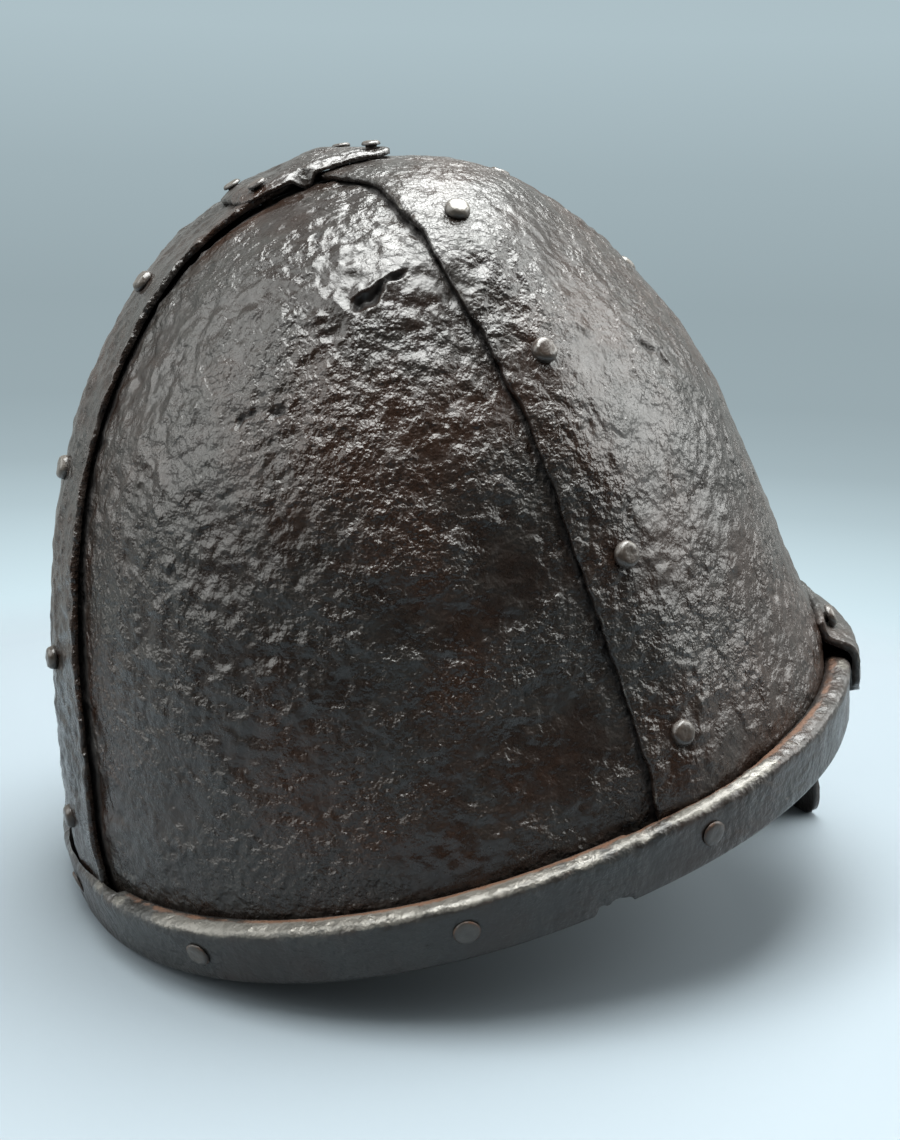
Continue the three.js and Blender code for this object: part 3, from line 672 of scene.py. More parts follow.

# %% [markdown]
# The crown plates
#
# A plate's face is the skin, plus the lift along its seams, plus the forged relief, less the dents
# and pits. Its edge is hammered thin, and the end that laps over the rear or front seam has sprung up
# a little. Where a plate lies under its neighbour it is kept smooth and low, and a shadow is painted
# on it along its neighbour's edge, stored with the dirt in its marks.

# %% Crown plates
EDGE_LIFT = 0.9
EDGE_LIFT_RUN = 4
THIN_EDGE = {"by": 0.45, "run": 1.1}
TUCKED_DOWN = 0.1
# how dark a shadow is painted on a lower plate beside the upper plate's edge, and how far it runs
PAINTED_SEAM_SHADOW = {"most": 1.2, "end_run": 1.8, "side_run": 0.8}
BARE_EDGE = {"run": 0.7, "mean": 0.1, "swing": 0.5, "wide": 6}
FOOT_RUST = {"below": 0.035, "steep": 14, "most": 0.35}
FOOT_RELIEF = {"least": 0.25, "steep": 40}
DIRT_IN_MARKS = 0.9
DIRT_IN_PITS = 0.3


def crown_plate(name, span_of, turn, seed, upper):
    angles, climbs, span, near_edge, at_start = plate_grid(span_of, turn)
    face = upper_lift(span, angles, climbs) * LAP if upper else np.zeros(angles.shape)
    angles = ragged(angles, climbs, near_edge, at_start, seed)
    climbs = np.broadcast_to(climbs, angles.shape)
    skin = skin_point(angles, climbs)
    normal = skin_normal(angles, climbs)
    thin_edge = THIN_EDGE["by"] * np.exp(-near_edge / THIN_EDGE["run"])
    if upper:
        face = face + EDGE_LIFT * np.exp(-near_edge / EDGE_LIFT_RUN) * ~at_start
    deep_marks = mark_depth(skin)
    pits = pit_depth(skin)
    relief = forged(skin, seed) - deep_marks - pits - thin_edge
    painted_seam_shadow = 0
    if not upper:
        radius = axis_distance(angles, climbs)
        covered = UNDER_MARGIN + np.where(at_start, END_RIVET_INSET, SIDE_RIVET_INSET)
        beyond = near_edge * np.maximum(radius, FULL_STRIP_RADIUS) / radius - covered
        relief = np.where(beyond < 0, np.minimum(relief, 0) - TUCKED_DOWN, relief)
        # a shadow painted on the lower plate, under the upper plate and along its edge
        run = np.where(at_start, PAINTED_SEAM_SHADOW["end_run"], PAINTED_SEAM_SHADOW["side_run"])
        painted_seam_shadow = np.clip(PAINTED_SEAM_SHADOW["most"] - beyond / run, 0, 1)
    at_foot = rise_at(climbs) * FOOT_RELIEF["steep"] + FOOT_RELIEF["least"]
    relief = relief * np.clip(at_foot, 0, 1)
    outer = skin + normal * (face + relief)[..., None]
    inner = skin + normal * (face - PLATE)[..., None]
    points = sheet_points(outer, inner)
    marks = no_marks(len(points))
    fine = outer.shape[0] * outer.shape[1]
    rubbed = BARE_EDGE["mean"] + BARE_EDGE["swing"] * lumps(skin, BARE_EDGE["wide"], seed + 8)
    bare = np.clip(np.exp(-near_edge / BARE_EDGE["run"]) * rubbed, 0, 1)
    low = np.clip((FOOT_RUST["below"] - rise_at(climbs)) * FOOT_RUST["steep"], 0, 1)
    # dirt in the dents and pits, plus the painted seam shadow, darken the colour together
    dirt_and_shade = deep_marks * DIRT_IN_MARKS + pits * DIRT_IN_PITS + painted_seam_shadow
    marks[:fine, 0] = bare.ravel() if upper else 0
    marks[:fine, 1] = low.ravel() * FOOT_RUST["most"]
    marks[:fine, 2] = np.clip(dirt_and_shade, 0, 1).ravel()
    faces = sheet_faces(*outer.shape[:2])
    return add_piece(name, points, faces, marks, "crown_iron", name.removesuffix("_fine"))


crown_pieces = [
    crown_plate("plate_rear_right_fine", lower_span, 0, 3, False),
    crown_plate("plate_front_left_fine", lower_span, math.pi, 5, False),
    crown_plate("plate_front_right_fine", upper_span, 0, 7, True),
    crown_plate("plate_rear_left_fine", upper_span, math.pi, 9, True),
]

# %% [markdown]
# The brow band
#
# The band is a hoop forged over the plates' lower ends. Its upper shoulder has been rubbed to bare
# steel along the corner, with rust in the groove behind it, and its lower edge is nicked and has a
# piece broken out. The hoop is a section swept round the rim. Each of its corners is a row in a
# table, so that the shoulder can be rounded and worn by moving only the points that belong to it.
# Round the rear left the band lies closer to the plates, as it does in the photo.

# %% Section of the band
BAND_SPREAD = 2.6
BAND_OUTSIDE = BAND_WALL + CLEARANCE
BAND_STEPS = 960
SHOULDER = 2.2
SHOULDER_HEIGHT = BAND_HEIGHT - SHOULDER

# out and up, in millimetres, say where a corner lies from the foot of the band's outer face; shoulder,
# bare and rust say from 0 to 1 how far it wanders, shows bare steel and rusts
BAND_SECTION = [
    {"out": -3.6, "up": 0.0, "shoulder": 0.0, "bare": 0.0, "rust": 0.0},
    {"out": -1.9, "up": 0.0, "shoulder": 0.0, "bare": 0.0, "rust": 0.0},
    {"out": -0.9, "up": 0.1, "shoulder": 0.0, "bare": 0.2, "rust": 0.0},
    {"out": -0.3, "up": 0.5, "shoulder": 0.0, "bare": 0.3, "rust": 0.0},
    {"out": 0.05, "up": 1.3, "shoulder": 0.0, "bare": 0.1, "rust": 0.0},
    {"out": 0.35, "up": 3.0, "shoulder": 0.0, "bare": 0.0, "rust": 0.0},
    {"out": 0.70, "up": 5.0, "shoulder": 0.0, "bare": 0.0, "rust": 0.0},
    {"out": 1.10, "up": 7.2, "shoulder": 0.0, "bare": 0.0, "rust": 0.0},
    {"out": 1.50, "up": 9.4, "shoulder": 0.0, "bare": 0.0, "rust": 0.0},
    {"out": 1.95, "up": 11.6, "shoulder": 0.2, "bare": 0.0, "rust": 0.0},
    {"out": 2.30, "up": 13.2, "shoulder": 0.5, "bare": 0.1, "rust": 0.0},
    {"out": 2.35, "up": 14.3, "shoulder": 0.8, "bare": 0.3, "rust": 0.2},
    {"out": 2.00, "up": 15.2, "shoulder": 1.0, "bare": 0.7, "rust": 0.3},
    {"out": 1.35, "up": 15.8, "shoulder": 1.0, "bare": 1.0, "rust": 0.2},
    {"out": 0.40, "up": 16.1, "shoulder": 0.9, "bare": 1.0, "rust": 0.3},
    {"out": -0.60, "up": 16.3, "shoulder": 0.7, "bare": 0.8, "rust": 0.4},
    {"out": -1.60, "up": 16.3, "shoulder": 0.5, "bare": 0.4, "rust": 0.8},
    {"out": -2.60, "up": 16.1, "shoulder": 0.3, "bare": 0.0, "rust": 0.7},
]
INNER_HEIGHTS = [15.3, 11.0, 6.0, 2.0, 0.4]
print("the band's section has", len(BAND_SECTION) + len(INNER_HEIGHTS), "corners")

# %% Places round the band
CLOSE_ANGLE = 158
CLOSE_SPREAD = 40
CLOSE_BY = 2.8
BAND_REACH = range(-5, 6)
UNDER_BAND = -0.5


def plan_point(angle, grow, height):
    """A point round the rim, grown outwards from the skin's plan."""
    angle, grow, height = np.broadcast_arrays(angle, grow, height)
    x = (SKIN_LENGTH + grow) * fullness(angle) * np.cos(angle)
    y = (SKIN_WIDTH + grow) * fullness(angle) * np.sin(angle)
    return np.stack([x, y, height], -1)


def away_from(angle, bearing):
    """The turn from a bearing in degrees to an angle, between minus and plus half a turn."""
    return (angle - math.radians(bearing) + math.pi) % FULL_TURN - math.pi


def hump(angle, bearing, spread):
    """1 at a bearing, and almost 0 beyond the spread on either side, both in degrees."""
    return np.exp(-((away_from(angle, bearing) / math.radians(spread)) ** 4))


def closeness(angle):
    """How far the band lies closer to the plates round the rear left, in millimetres."""
    return CLOSE_BY * hump(angle, CLOSE_ANGLE, CLOSE_SPREAD)


def band_inside(angle):
    """How far the band's inner wall stands off the skin, to clear every plate beneath it."""
    reach = [outermost(angle + math.radians(step), UNDER_BAND) for step in BAND_REACH]
    return np.max(reach, axis=0) + CLEARANCE


print("the band's inner wall stands off by", round(float(band_inside(0.0)), 2), "mm at the front")

# %% The band
# waves and nicks of the shoulder, by height and width in millimetres
SHOULDER_WAVE = {"wide": 17, "out": 0.45, "up": 0.35}
SHOULDER_NICK = {"wide": 5, "deep": 0.9, "narrow": 2.4, "rough": 0.5, "out": 0.35, "up": 0.55}
FOOT_NICK = {"wide": 4, "narrow": 2, "rarity": 0.35, "high": 1.6, "rough": 0.15}
CHIP = {"angle": -94, "long": 9, "high": 3.0, "past": 1.12, "soft": 0.25, "rough": 0.3}
FOOT_ZONE = {"whole": 1.4, "run": 6}
REST_ARC = 12
BAND_RELIEF = [
    {"high": 0.16, "wide": 9},
    {"high": 0.12, "wide": 3.5},
    {"high": 0.07, "wide": 1.6},
]
WORN = {"angle": -128, "spread": 40, "least": 0.2, "more": 0.65}
WORN_PATCHES = {"wide": 13, "narrow": 4, "swing": 0.5}
RUST_SHARE = {"least": 0.45, "more": 0.55, "behind": 40}
# painted shade on the band's inner wall, in the gap between band and plates
BAND_INNER_SHADE = 0.6
LEAST_WALL = 0.2
RING_HEIGHT = 8
RELIEF_STARTS = 0.4


def foot_line(angles, ring):
    """How far the band's lower edge is nicked or broken away, in millimetres."""
    nick = np.maximum(lumps(ring, FOOT_NICK["wide"], 44) - FOOT_NICK["rarity"], 0)
    nick = nick * FOOT_NICK["high"] + FOOT_NICK["rough"] * lumps(ring, FOOT_NICK["narrow"], 45)
    across = np.abs(away_from(angles, CHIP["angle"])) * SKIN_WIDTH / (CHIP["long"] / 2)
    chip = CHIP["high"] * np.clip((CHIP["past"] - across) / CHIP["soft"], 0, 1)
    chip = chip * (1 - CHIP["rough"] / 2 + CHIP["rough"] * lumps(ring, 1.6, 46))
    resting = np.abs(away_from(angles, 180)) < math.radians(REST_ARC)
    return np.where(resting, 0, np.maximum(np.maximum(nick, chip), 0))


def band_marks(angles, ring, size):
    worn = hump(angles, WORN["angle"], WORN["spread"])
    swing = WORN_PATCHES["swing"]
    ragged_wear = swing * lumps(ring, WORN_PATCHES["wide"], 50)
    ragged_wear = ragged_wear + swing * lumps(ring, WORN_PATCHES["narrow"], 51)
    patch = np.clip(WORN["least"] + WORN["more"] * worn + ragged_wear, 0, 1)
    rusty = RUST_SHARE["least"] + RUST_SHARE["more"] * np.roll(patch, RUST_SHARE["behind"])
    bare = np.array([row["bare"] for row in BAND_SECTION])
    rust = np.array([row["rust"] for row in BAND_SECTION])
    marks = no_marks(BAND_STEPS, size)
    marks[:, :len(bare), 0] = bare[None, :] * patch[:, None]
    marks[:, :len(rust), 1] = rust[None, :] * rusty[:, None]
    # the inner wall is painted darker, as shade
    marks[:, len(bare):, 2] = BAND_INNER_SHADE
    return marks


def brow_band():
    angles = (np.arange(BAND_STEPS) + 0.5) * FULL_TURN / BAND_STEPS
    inside = band_inside(angles)
    out = np.array([row["out"] for row in BAND_SECTION])
    up = np.array([row["up"] for row in BAND_SECTION])
    weight = np.array([row["shoulder"] for row in BAND_SECTION])
    ring = plan_point(angles, 0, RING_HEIGHT)
    wave = lumps(ring, SHOULDER_WAVE["wide"], 41)
    nick = SHOULDER_NICK["deep"] * np.maximum(lumps(ring, SHOULDER_NICK["wide"], 42), 0)
    nick = nick + SHOULDER_NICK["rough"] * lumps(ring, SHOULDER_NICK["narrow"], 43)
    wander_out = SHOULDER_WAVE["out"] * wave - SHOULDER_NICK["out"] * nick
    wander_up = SHOULDER_WAVE["up"] * wave - SHOULDER_NICK["up"] * nick
    close = closeness(angles)[:, None] * np.clip(up / SHOULDER_HEIGHT, 0, 1)[None, :]
    grow = BAND_OUTSIDE + out[None, :] - close + weight * wander_out[:, None]
    grow = np.maximum(grow, (inside + LEAST_WALL)[:, None])
    height = up[None, :] + weight * wander_up[:, None]
    foot = foot_line(angles, ring)
    in_foot = np.clip(FOOT_ZONE["whole"] - up / FOOT_ZONE["run"], 0, 1)
    height = np.maximum(height, foot[:, None] * in_foot[None, :])
    outer = plan_point(angles[:, None], grow, height)
    normal = np.stack([np.cos(angles), np.sin(angles), 0 * angles], -1)[:, None, :]
    layers = enumerate(BAND_RELIEF)
    relief = sum(row["high"] * lumps(outer, row["wide"], 47 + i) for i, row in layers)
    relief = relief * np.clip(up - RELIEF_STARTS, 0, 1)[None, :]
    outer = outer + normal * relief[..., None]
    inner = plan_point(angles[:, None], inside[:, None], np.array(INNER_HEIGHTS)[None, :])
    inner[:, -1, 2] = np.maximum(inner[:, -1, 2], foot + LEAST_WALL)
    points = np.concatenate([outer, inner], 1)
    size = points.shape[1]
    marks = band_marks(angles, ring, size)
    faces = []
    for i in range(BAND_STEPS):
        a = i * size
        b = ((i + 1) % BAND_STEPS) * size
        for j in range(size):
            k = (j + 1) % size
            faces.append((a + j, b + j, b + k, a + k))
    points = points.reshape(-1, 3)
    marks = marks.reshape(-1, 4)
    return add_piece("brow_band_fine", points, faces, marks, "band_iron", "brow_band")


band = brow_band()

# %% [markdown]
# The nose guard
#
# The T-shaped plate was cut flat and bent over a stake: its two arms follow the band and turn in over
# the band's shoulder, and the bar runs down between the eyes. It is seen from inside as well as from
# outside, so both of its faces are fine here. First come its sizes, the same as the plain one's.

# %% Sizes of the T-shaped plate
NASAL_LENGTH = 63.5
NASAL_WIDTH = 25
NASAL_PLATE = 2.2
NASAL_INSET = 1.5
NASAL_ARM = 37
NASAL_LIP = 10
NASAL_FOOT = 2.5
NASAL_FILLET = 4
WORN_CORNER = {"long": 9, "high": 6}
NASAL_STAND = BAND_OUTSIDE + CLEARANCE

NASAL_OUTLINE = [
    {"rise": 0.00, "width": 1.00},
    {"rise": 0.40, "width": 0.98},
    {"rise": 0.72, "width": 0.97},
    {"rise": 0.88, "width": 0.88},
    {"rise": 0.96, "width": 0.68},
    {"rise": 1.00, "width": 0.42},
]
nasal_width = column(NASAL_OUTLINE, "width")
print("the nose guard narrows to", NASAL_WIDTH * float(nasal_width(1)), "mm at its tip")

# %% Arms of the T
ARM_ROWS = 36
ARM_LEANS = [0, 15, 50, 30, 12]
ARM_REACH = range(-6, 7, 2)
SOFTENING = 3


def lean_at(height):
    return BAND_SPREAD * np.clip(np.asarray(height, float) / SHOULDER_HEIGHT, 0, 1)


def unit(vectors):
    return vectors / np.linalg.norm(vectors, axis=-1, keepdims=True)


def soften(rows):
    """Rounds the bends between rows, and leaves the first and last row alone."""
    for _ in range(SOFTENING):
        rows = rows.copy()
        rows[1:-1] = (rows[:-2] + 2 * rows[1:-1] + rows[2:]) / 4
    return rows


def arm_faces(angles, foot):
    """Inner and outer points of the arms, from their lower edge up over the band's shoulder."""
    outwards = unit(plan_point(angles, 1, 0) - plan_point(angles, 0, 0))
    on_crown = []
    for height in (BAND_HEIGHT + NASAL_LIP / 2, BAND_HEIGHT + NASAL_LIP):
        climb = climb_at_height(height)
        steps = [outermost(angles + math.radians(step), climb) for step in ARM_REACH]
        offset = np.max(steps, axis=0) + CLEARANCE
        on_crown.append(skin_point(angles, climb) + skin_normal(angles, climb) * offset[:, None])
    shoulder = plan_point(angles, NASAL_STAND + BAND_SPREAD, SHOULDER_HEIGHT)
    over = shoulder + np.array([0, 0, SHOULDER + 2 * CLEARANCE])
    low = plan_point(angles, NASAL_STAND + lean_at(foot), foot)
    inner = np.stack([low, shoulder, over, *on_crown])
    leans = np.radians(ARM_LEANS)[:, None, None]
    way = outwards[None] * np.cos(leans) + np.array([0, 0, 1]) * np.sin(leans)
    outer = inner + way * NASAL_PLATE
    middle = inner[:, len(angles) // 2]
    run = np.concatenate([[0], np.cumsum(np.linalg.norm(np.diff(middle, axis=0), axis=-1))])
    fine = np.linspace(0, run[-1], ARM_ROWS)
    place = np.interp(fine, run, np.arange(len(run)))
    base = np.minimum(place.astype(int), len(run) - 2)
    part = (place - base)[:, None, None]
    faces = [grid[base] * (1 - part) + grid[base + 1] * part for grid in (inner, outer)]
    return [soften(face) for face in faces]


print("an arm is", ARM_ROWS, "rows high and leans out", BAND_SPREAD, "mm with the band")

# %% Bar of the T
BAR_ROWS = 84
TIP_ZONE = 2


def bar_faces(top_angles, top_height):
    """Inner and outer points of the bar, from its worn tip up to the arms."""
    heights = np.linspace(-NASAL_LENGTH, top_height, BAR_ROWS)
    down = np.clip(-heights / NASAL_LENGTH, 0, 1)[:, None]
    angles = np.arcsin(np.sin(top_angles)[None, :] * nasal_width(down))
    stand_off = NASAL_STAND + lean_at(heights)[:, None] - NASAL_INSET * down
    faces = []
    for grow in (stand_off, stand_off + NASAL_PLATE):
        face = plan_point(angles, grow, heights[:, None])
        reach = (stand(face[0])[:, 2] / MM) / math.cos(TILT)
        drop = np.exp((heights[0] - heights) / TIP_ZONE)[:, None] * reach[None, :]
        face[..., 2] = face[..., 2] - drop
        faces.append(face)
    return faces


print("the bar hangs", NASAL_LENGTH, "mm below the rim")

# %% [markdown]
# One mesh for the T
#
# Arms and bar share one grid of points. A mask says which of its cells belong to the T, the two skins
# are laid over those cells, and the border of the mask is where the walls of the plate's thickness
# go. So the corner between arm and bar needs no joining afterwards.

# %% Faces over a mask


def masked_faces(inside, count):
    """Faces of the two skins over the cells of a mask, and the walls round its border."""
    rows, columns = inside.shape
    index = np.arange(rows * columns).reshape(rows, columns)
    corners = (index[:-1, :-1], index[:-1, 1:], index[1:, 1:], index[1:, :-1])
    kept = inside[:-1, :-1] & inside[:-1, 1:] & inside[1:, 1:] & inside[1:, :-1]
    front = np.stack([corner[kept] for corner in corners], -1)
    edges = set()
    for face in front.tolist():
        edges.update(zip(face, face[1:] + face[:1]))
    walls = [(b, a, a + count, b + count) for a, b in edges if (b, a) not in edges]
    back = front[:, ::-1] + count
    return front.tolist() + back.tolist() + walls


print("one masked cell gives", len(masked_faces(np.ones((2, 2), bool), 4)), "faces")

# %% The T-shaped plate
ARM_COLUMNS = 84
BAR_COLUMNS = 34
FOOT_WANDER = {"by": 0.5, "wide": 9}
NASAL_RELIEF = {"outside": 0.7, "inside": 0.25}
CLEAR_OF_FLOOR = {"above": 1, "over": 6}
FOLD_WEAR = {"most": 0.7, "spread": 2.5}
NASAL_RUST = {"swing": 0.5, "wide": 12, "rarity": 0.05}
# painted shade on the inner face of the nose guard
NASAL_INNER_SHADE = 0.35


def nasal_plate():
    half_bar = math.asin(NASAL_WIDTH / 2 / SKIN_WIDTH)
    arm = math.radians(NASAL_ARM)
    angles = np.concatenate([
        np.linspace(-arm, -half_bar, ARM_COLUMNS)[:-1],
        np.linspace(-half_bar, half_bar, BAR_COLUMNS),
        np.linspace(half_bar, arm, ARM_COLUMNS)[1:],
    ])
    in_bar = np.abs(angles) < half_bar + 0.001
    beyond = np.clip((np.abs(angles) - half_bar) * SKIN_LENGTH, 0, NASAL_FILLET)
    fillet = NASAL_FILLET - np.sqrt(NASAL_FILLET**2 - (NASAL_FILLET - beyond) ** 2)
    wander = FOOT_WANDER["by"] * lumps(plan_point(angles, 0, 0), FOOT_WANDER["wide"], 61)
    wander = wander * np.clip(beyond / NASAL_FILLET, 0, 1)
    from_end = (arm - np.abs(angles)) * SKIN_LENGTH
    corner = WORN_CORNER["high"] * np.clip(1 - from_end / WORN_CORNER["long"], 0, 1) ** 2
    foot = NASAL_FOOT - fillet + wander + corner
    arms = arm_faces(angles, foot)
    bars = bar_faces(angles[in_bar], foot[in_bar][0])
    rows = BAR_ROWS + ARM_ROWS - 1
    inside = np.ones((rows, len(angles)), bool)
    inside[:BAR_ROWS - 1, ~in_bar] = False
    grids = []
    for arm_face, bar_face in zip(arms, bars):
        grid = np.zeros((rows, len(angles), 3))
        grid[BAR_ROWS - 1:] = arm_face
        grid[:BAR_ROWS - 1, in_bar] = bar_face[:-1]
        grids.append(grid)
    inner, outer = grids
    way = unit(np.where(inside[..., None], outer - inner, 1.0))
    over_floor = outer[..., 2] + NASAL_LENGTH - CLEAR_OF_FLOOR["above"]
    strength = np.clip(over_floor / CLEAR_OF_FLOOR["over"], 0, 1)
    outer = outer + way * (forged(outer, 63, NASAL_RELIEF["outside"]) * strength)[..., None]
    inner = inner + way * (forged(inner, 67, NASAL_RELIEF["inside"]) * strength)[..., None]
    count = inside.size
    points = np.concatenate([outer.reshape(-1, 3), inner.reshape(-1, 3)])
    faces = masked_faces(inside, count)
    used = np.unique(np.concatenate([np.ravel(face) for face in faces]))
    place = np.zeros(len(points), int)
    place[used] = np.arange(len(used))
    faces = [place[list(face)].tolist() for face in faces]
    marks = no_marks(len(used))
    fold = np.exp(-((points[used, 2] - SHOULDER_HEIGHT) / FOLD_WEAR["spread"]) ** 2)
    rust = NASAL_RUST["swing"] * lumps(points[used], NASAL_RUST["wide"], 69)
    marks[:, 0] = FOLD_WEAR["most"] * fold * (used < count)
    marks[:, 1] = np.clip(rust - NASAL_RUST["rarity"], 0, 1)
    # the inner face is painted darker as shade, the outer face not
    marks[:, 2] = np.where(used < count, 0, NASAL_INNER_SHADE)
    return add_piece("nasal_plate_fine", points[used], faces, marks, "band_iron", "nasal_plate")


nasal = nasal_plate()

# %% [markdown]
# The cap
#
# The four plates leave a hole at the very top, and a small plate was riveted over it. It is a
# rounded oblong that was dished slightly and has lost its crisp outline. One corner is bent up like
# a small lug and a slot was struck into it near that end. The cap is drawn from above, so the crown
# has to be asked which of its places lies under a point seen from there.

# %% Sizes of the cap
CAP_LENGTH = 41
CAP_WIDTH = 32
CAP_PLATE = 1.6
CAP_DOME = 1.2
CAP_BACK = 4.5
CAP_SQUARENESS = 5
CAP_MIDDLE = APEX_FORWARD - CAP_BACK

# places on the cap, in the level helmet, seen from above
CAP_SLOT = {"x": 9.5, "y": -12.5, "long": 3.0, "wide": 0.9, "deep": 1.3}
CAP_LUG = {"x": 18.0, "y": -12.5, "long": 2.6, "wide": 2.6, "high": 0.8}
CAP_HOLLOW = {"x": -6.0, "y": 3.0, "long": 6.0, "wide": 5.0, "deep": 0.8}
print("the cap is", CAP_LENGTH, "by", CAP_WIDTH, "mm")

# %% From a place seen from above to the crown
HALVINGS = 40


def crown_place(x, y):
    """Angle and climb of the place on the crown that lies at x, y near the apex."""
    along = (x - APEX_FORWARD) / SKIN_LENGTH
    across = y / SKIN_WIDTH
    angle = np.arctan2(across, along)
    share = np.hypot(along, across) / fullness(angle)
    low = np.zeros(share.shape)
    high = np.ones(share.shape)
    for _ in range(HALVINGS):
        middle = (low + high) / 2
        far = crown_share(angle, middle) > share
        low = np.where(far, middle, low)
        high = np.where(far, high, middle)
    return angle, low


rear_end = crown_place(np.array([CAP_MIDDLE - CAP_LENGTH / 2]), np.zeros(1))[1]
print("the cap's rear end lies at a climb of", round(float(rear_end[0]), 3))

# %% Marks and rim of the cap
RIM_SPREADS = 6
RIM_SMOOTHINGS = 8


def spot(x, y, place, power):
    """1 in the middle of a named place on the cap, falling to 0 round it."""
    u = (x - place["x"]) / place["long"]
    v = (y - place["y"]) / place["wide"]
    return np.exp(-np.abs(u) ** power - np.abs(v) ** power)


def neighbours(grid):
    """The grid shifted by one place to each of its four sides."""
    padded = np.pad(grid, 1, mode="edge")
    return [padded[:-2, 1:-1], padded[2:, 1:-1], padded[1:-1, :-2], padded[1:-1, 2:]]


def edge_droop(angle, climb):
    """How far the cap's rim was hammered down onto the plate beneath, in millimetres."""
    face = outermost(angle, climb)
    for _ in range(RIM_SPREADS):
        face = np.maximum(face, np.max(neighbours(face), axis=0))
    for _ in range(RIM_SMOOTHINGS):
        face = sum(neighbours(face)) / 4
    return np.maximum(RIDGE_LIFT * LAP - face, 0)


print("the slot is", CAP_SLOT["deep"], "mm deep in a plate of", CAP_PLATE, "mm")

# %% Apex cap
CAP_ROWS = 101
CAP_COLUMNS = 129
CAP_WANDER = {"by": 0.035, "wide": 9, "narrow": 3.0, "share": 0.6}
CAP_RELIEF = 0.8
DROOP_FROM = 0.78
THIN_RIM = {"by": 0.8, "from": 0.86}
CAP_EDGE = {"from": 0.9, "steep": 10, "wide": 5, "most": 0.4}
HIGHEST_NORMAL = 0.995
TINY = 1e-9


def apex_cap():
    along = np.linspace(-1, 1, CAP_COLUMNS)[None, :]
    across = np.linspace(-1, 1, CAP_ROWS)[:, None]
    power = CAP_SQUARENESS
    corner = (np.abs(along) ** power + np.abs(across) ** power) ** (1 / power)
    reach = np.maximum(np.abs(along), np.abs(across))
    trim = np.where(corner > 0, reach / np.maximum(corner, TINY), 1)
    x = CAP_MIDDLE + along * trim * CAP_LENGTH / 2
    y = across * trim * CAP_WIDTH / 2
    flat = np.stack([x, y, 0 * x], -1)
    wander = lumps(flat, CAP_WANDER["wide"], 71)
    wander = wander + CAP_WANDER["share"] * lumps(flat, CAP_WANDER["narrow"], 72)
    ragged_edge = 1 + CAP_WANDER["by"] * wander * reach**6
    x = CAP_MIDDLE + (x - CAP_MIDDLE) * ragged_edge
    y = y * ragged_edge
    angle, climb = crown_place(x, y)
    seat = RIDGE_LIFT * LAP + CLEARANCE + CAP_DOME * (1 - along**2) * (1 - across**2)
    skin = skin_point(angle, climb)
    normal = skin_normal(angle, np.minimum(climb, HIGHEST_NORMAL))
    droop = np.clip((reach - DROOP_FROM) / (1 - DROOP_FROM), 0, 1)
    seat = seat - edge_droop(angle, climb) * droop
    thin = np.clip((reach - THIN_RIM["from"]) / (1 - THIN_RIM["from"]), 0, 1)
    relief = forged(skin, 73, CAP_RELIEF) - THIN_RIM["by"] * thin
    slot = spot(x, y, CAP_SLOT, 4)
    lug = spot(x, y, CAP_LUG, 2) * CAP_LUG["high"]
    hollow = spot(x, y, CAP_HOLLOW, 2) * CAP_HOLLOW["deep"]
    relief = relief - slot * CAP_SLOT["deep"] - hollow + lug
    outer = skin + normal * (seat + CAP_PLATE + relief)[..., None]
    inner = skin + normal * (seat + lug / 2)[..., None]
    points = sheet_points(outer, inner)
    marks = no_marks(len(points))
    fine = outer.shape[0] * outer.shape[1]
    edge = np.clip((reach - CAP_EDGE["from"]) * CAP_EDGE["steep"], 0, 1)
    edge = edge * np.clip(0.5 + lumps(skin, CAP_EDGE["wide"], 75), 0, 1)
    marks[:fine, 0] = CAP_EDGE["most"] * edge.ravel()
    marks[:fine, 2] = np.clip(slot, 0, 1).ravel()
    faces = sheet_faces(*outer.shape[:2])
    return add_piece("apex_cap_fine", points, faces, marks, "crown_iron", "apex_cap")


cap = apex_cap()

# %% [markdown]
# Rivets
#
# A rivet's head was hammered over a soft iron shank, so no two are alike: the dome is a little
# off-centre, a little flattened, and its rim spreads unevenly. One function makes them all from a
# profile, and each gets its own lumps. Its middle, its direction and its two ends are measured from
# the plain rivet that it replaces, so it can't miss its hole.

# %% Measuring the plain rivets
INSIDE_THE_CROWN = 0.02


def rivet_axis(node):
    """Middle of a plain rivet, its direction outwards, its two ends and its head's radius."""
    places = np.array([vertex.co for vertex in frame["nodes"][node].data.vertices]) / MM
    middle = places.mean(0)
    way = np.linalg.eigh(np.cov((places - middle).T))[1][:, -1]
    inside = np.array(RIM_CENTRE - DOWN_THE_CROWN * INSIDE_THE_CROWN) / MM
    if (middle - inside) @ way < 0:
        way = -way
    along = (places - middle) @ way
    off_axis = np.linalg.norm((places - middle) - along[:, None] * way, axis=-1)
    return middle, way, along.min(), along.max(), off_axis.max()


def level(points):
    """The opposite of stand: places in the scene, in millimetres, back to the level helmet."""
    local = np.asarray(points, float) - np.array(RIM_CENTRE) / MM
    x = local[..., 0] * math.cos(TILT) + local[..., 2] * math.sin(TILT)
    z = -local[..., 0] * math.sin(TILT) + local[..., 2] * math.cos(TILT)
    return np.stack([x, local[..., 1], z], -1)


rivet_nodes = sorted(name for name in frame["nodes"] if "rivet" in name)
print(len(rivet_nodes), "rivets, the first one's head", round(2 * rivet_axis(rivet_nodes[0])[4], 1), "mm")

# %% Section of a rivet
# how high each kind of head stands in the plain model, and how much of that wear has left
RIVET_RISE = {"seam": 1.9, "nasal": 1.9, "cap": 1.3, "band": 0.7}
RIVET_KEPT = {"seam": 0.95, "nasal": 0.9, "cap": 0.55, "band": 0.75}
RIVET_SHANK = 3
RIVET_TAIL = 5
RIVET_TAIL_RISE = 1
RIVET_SIDES = 32
HEAD_SEAT = 0.3

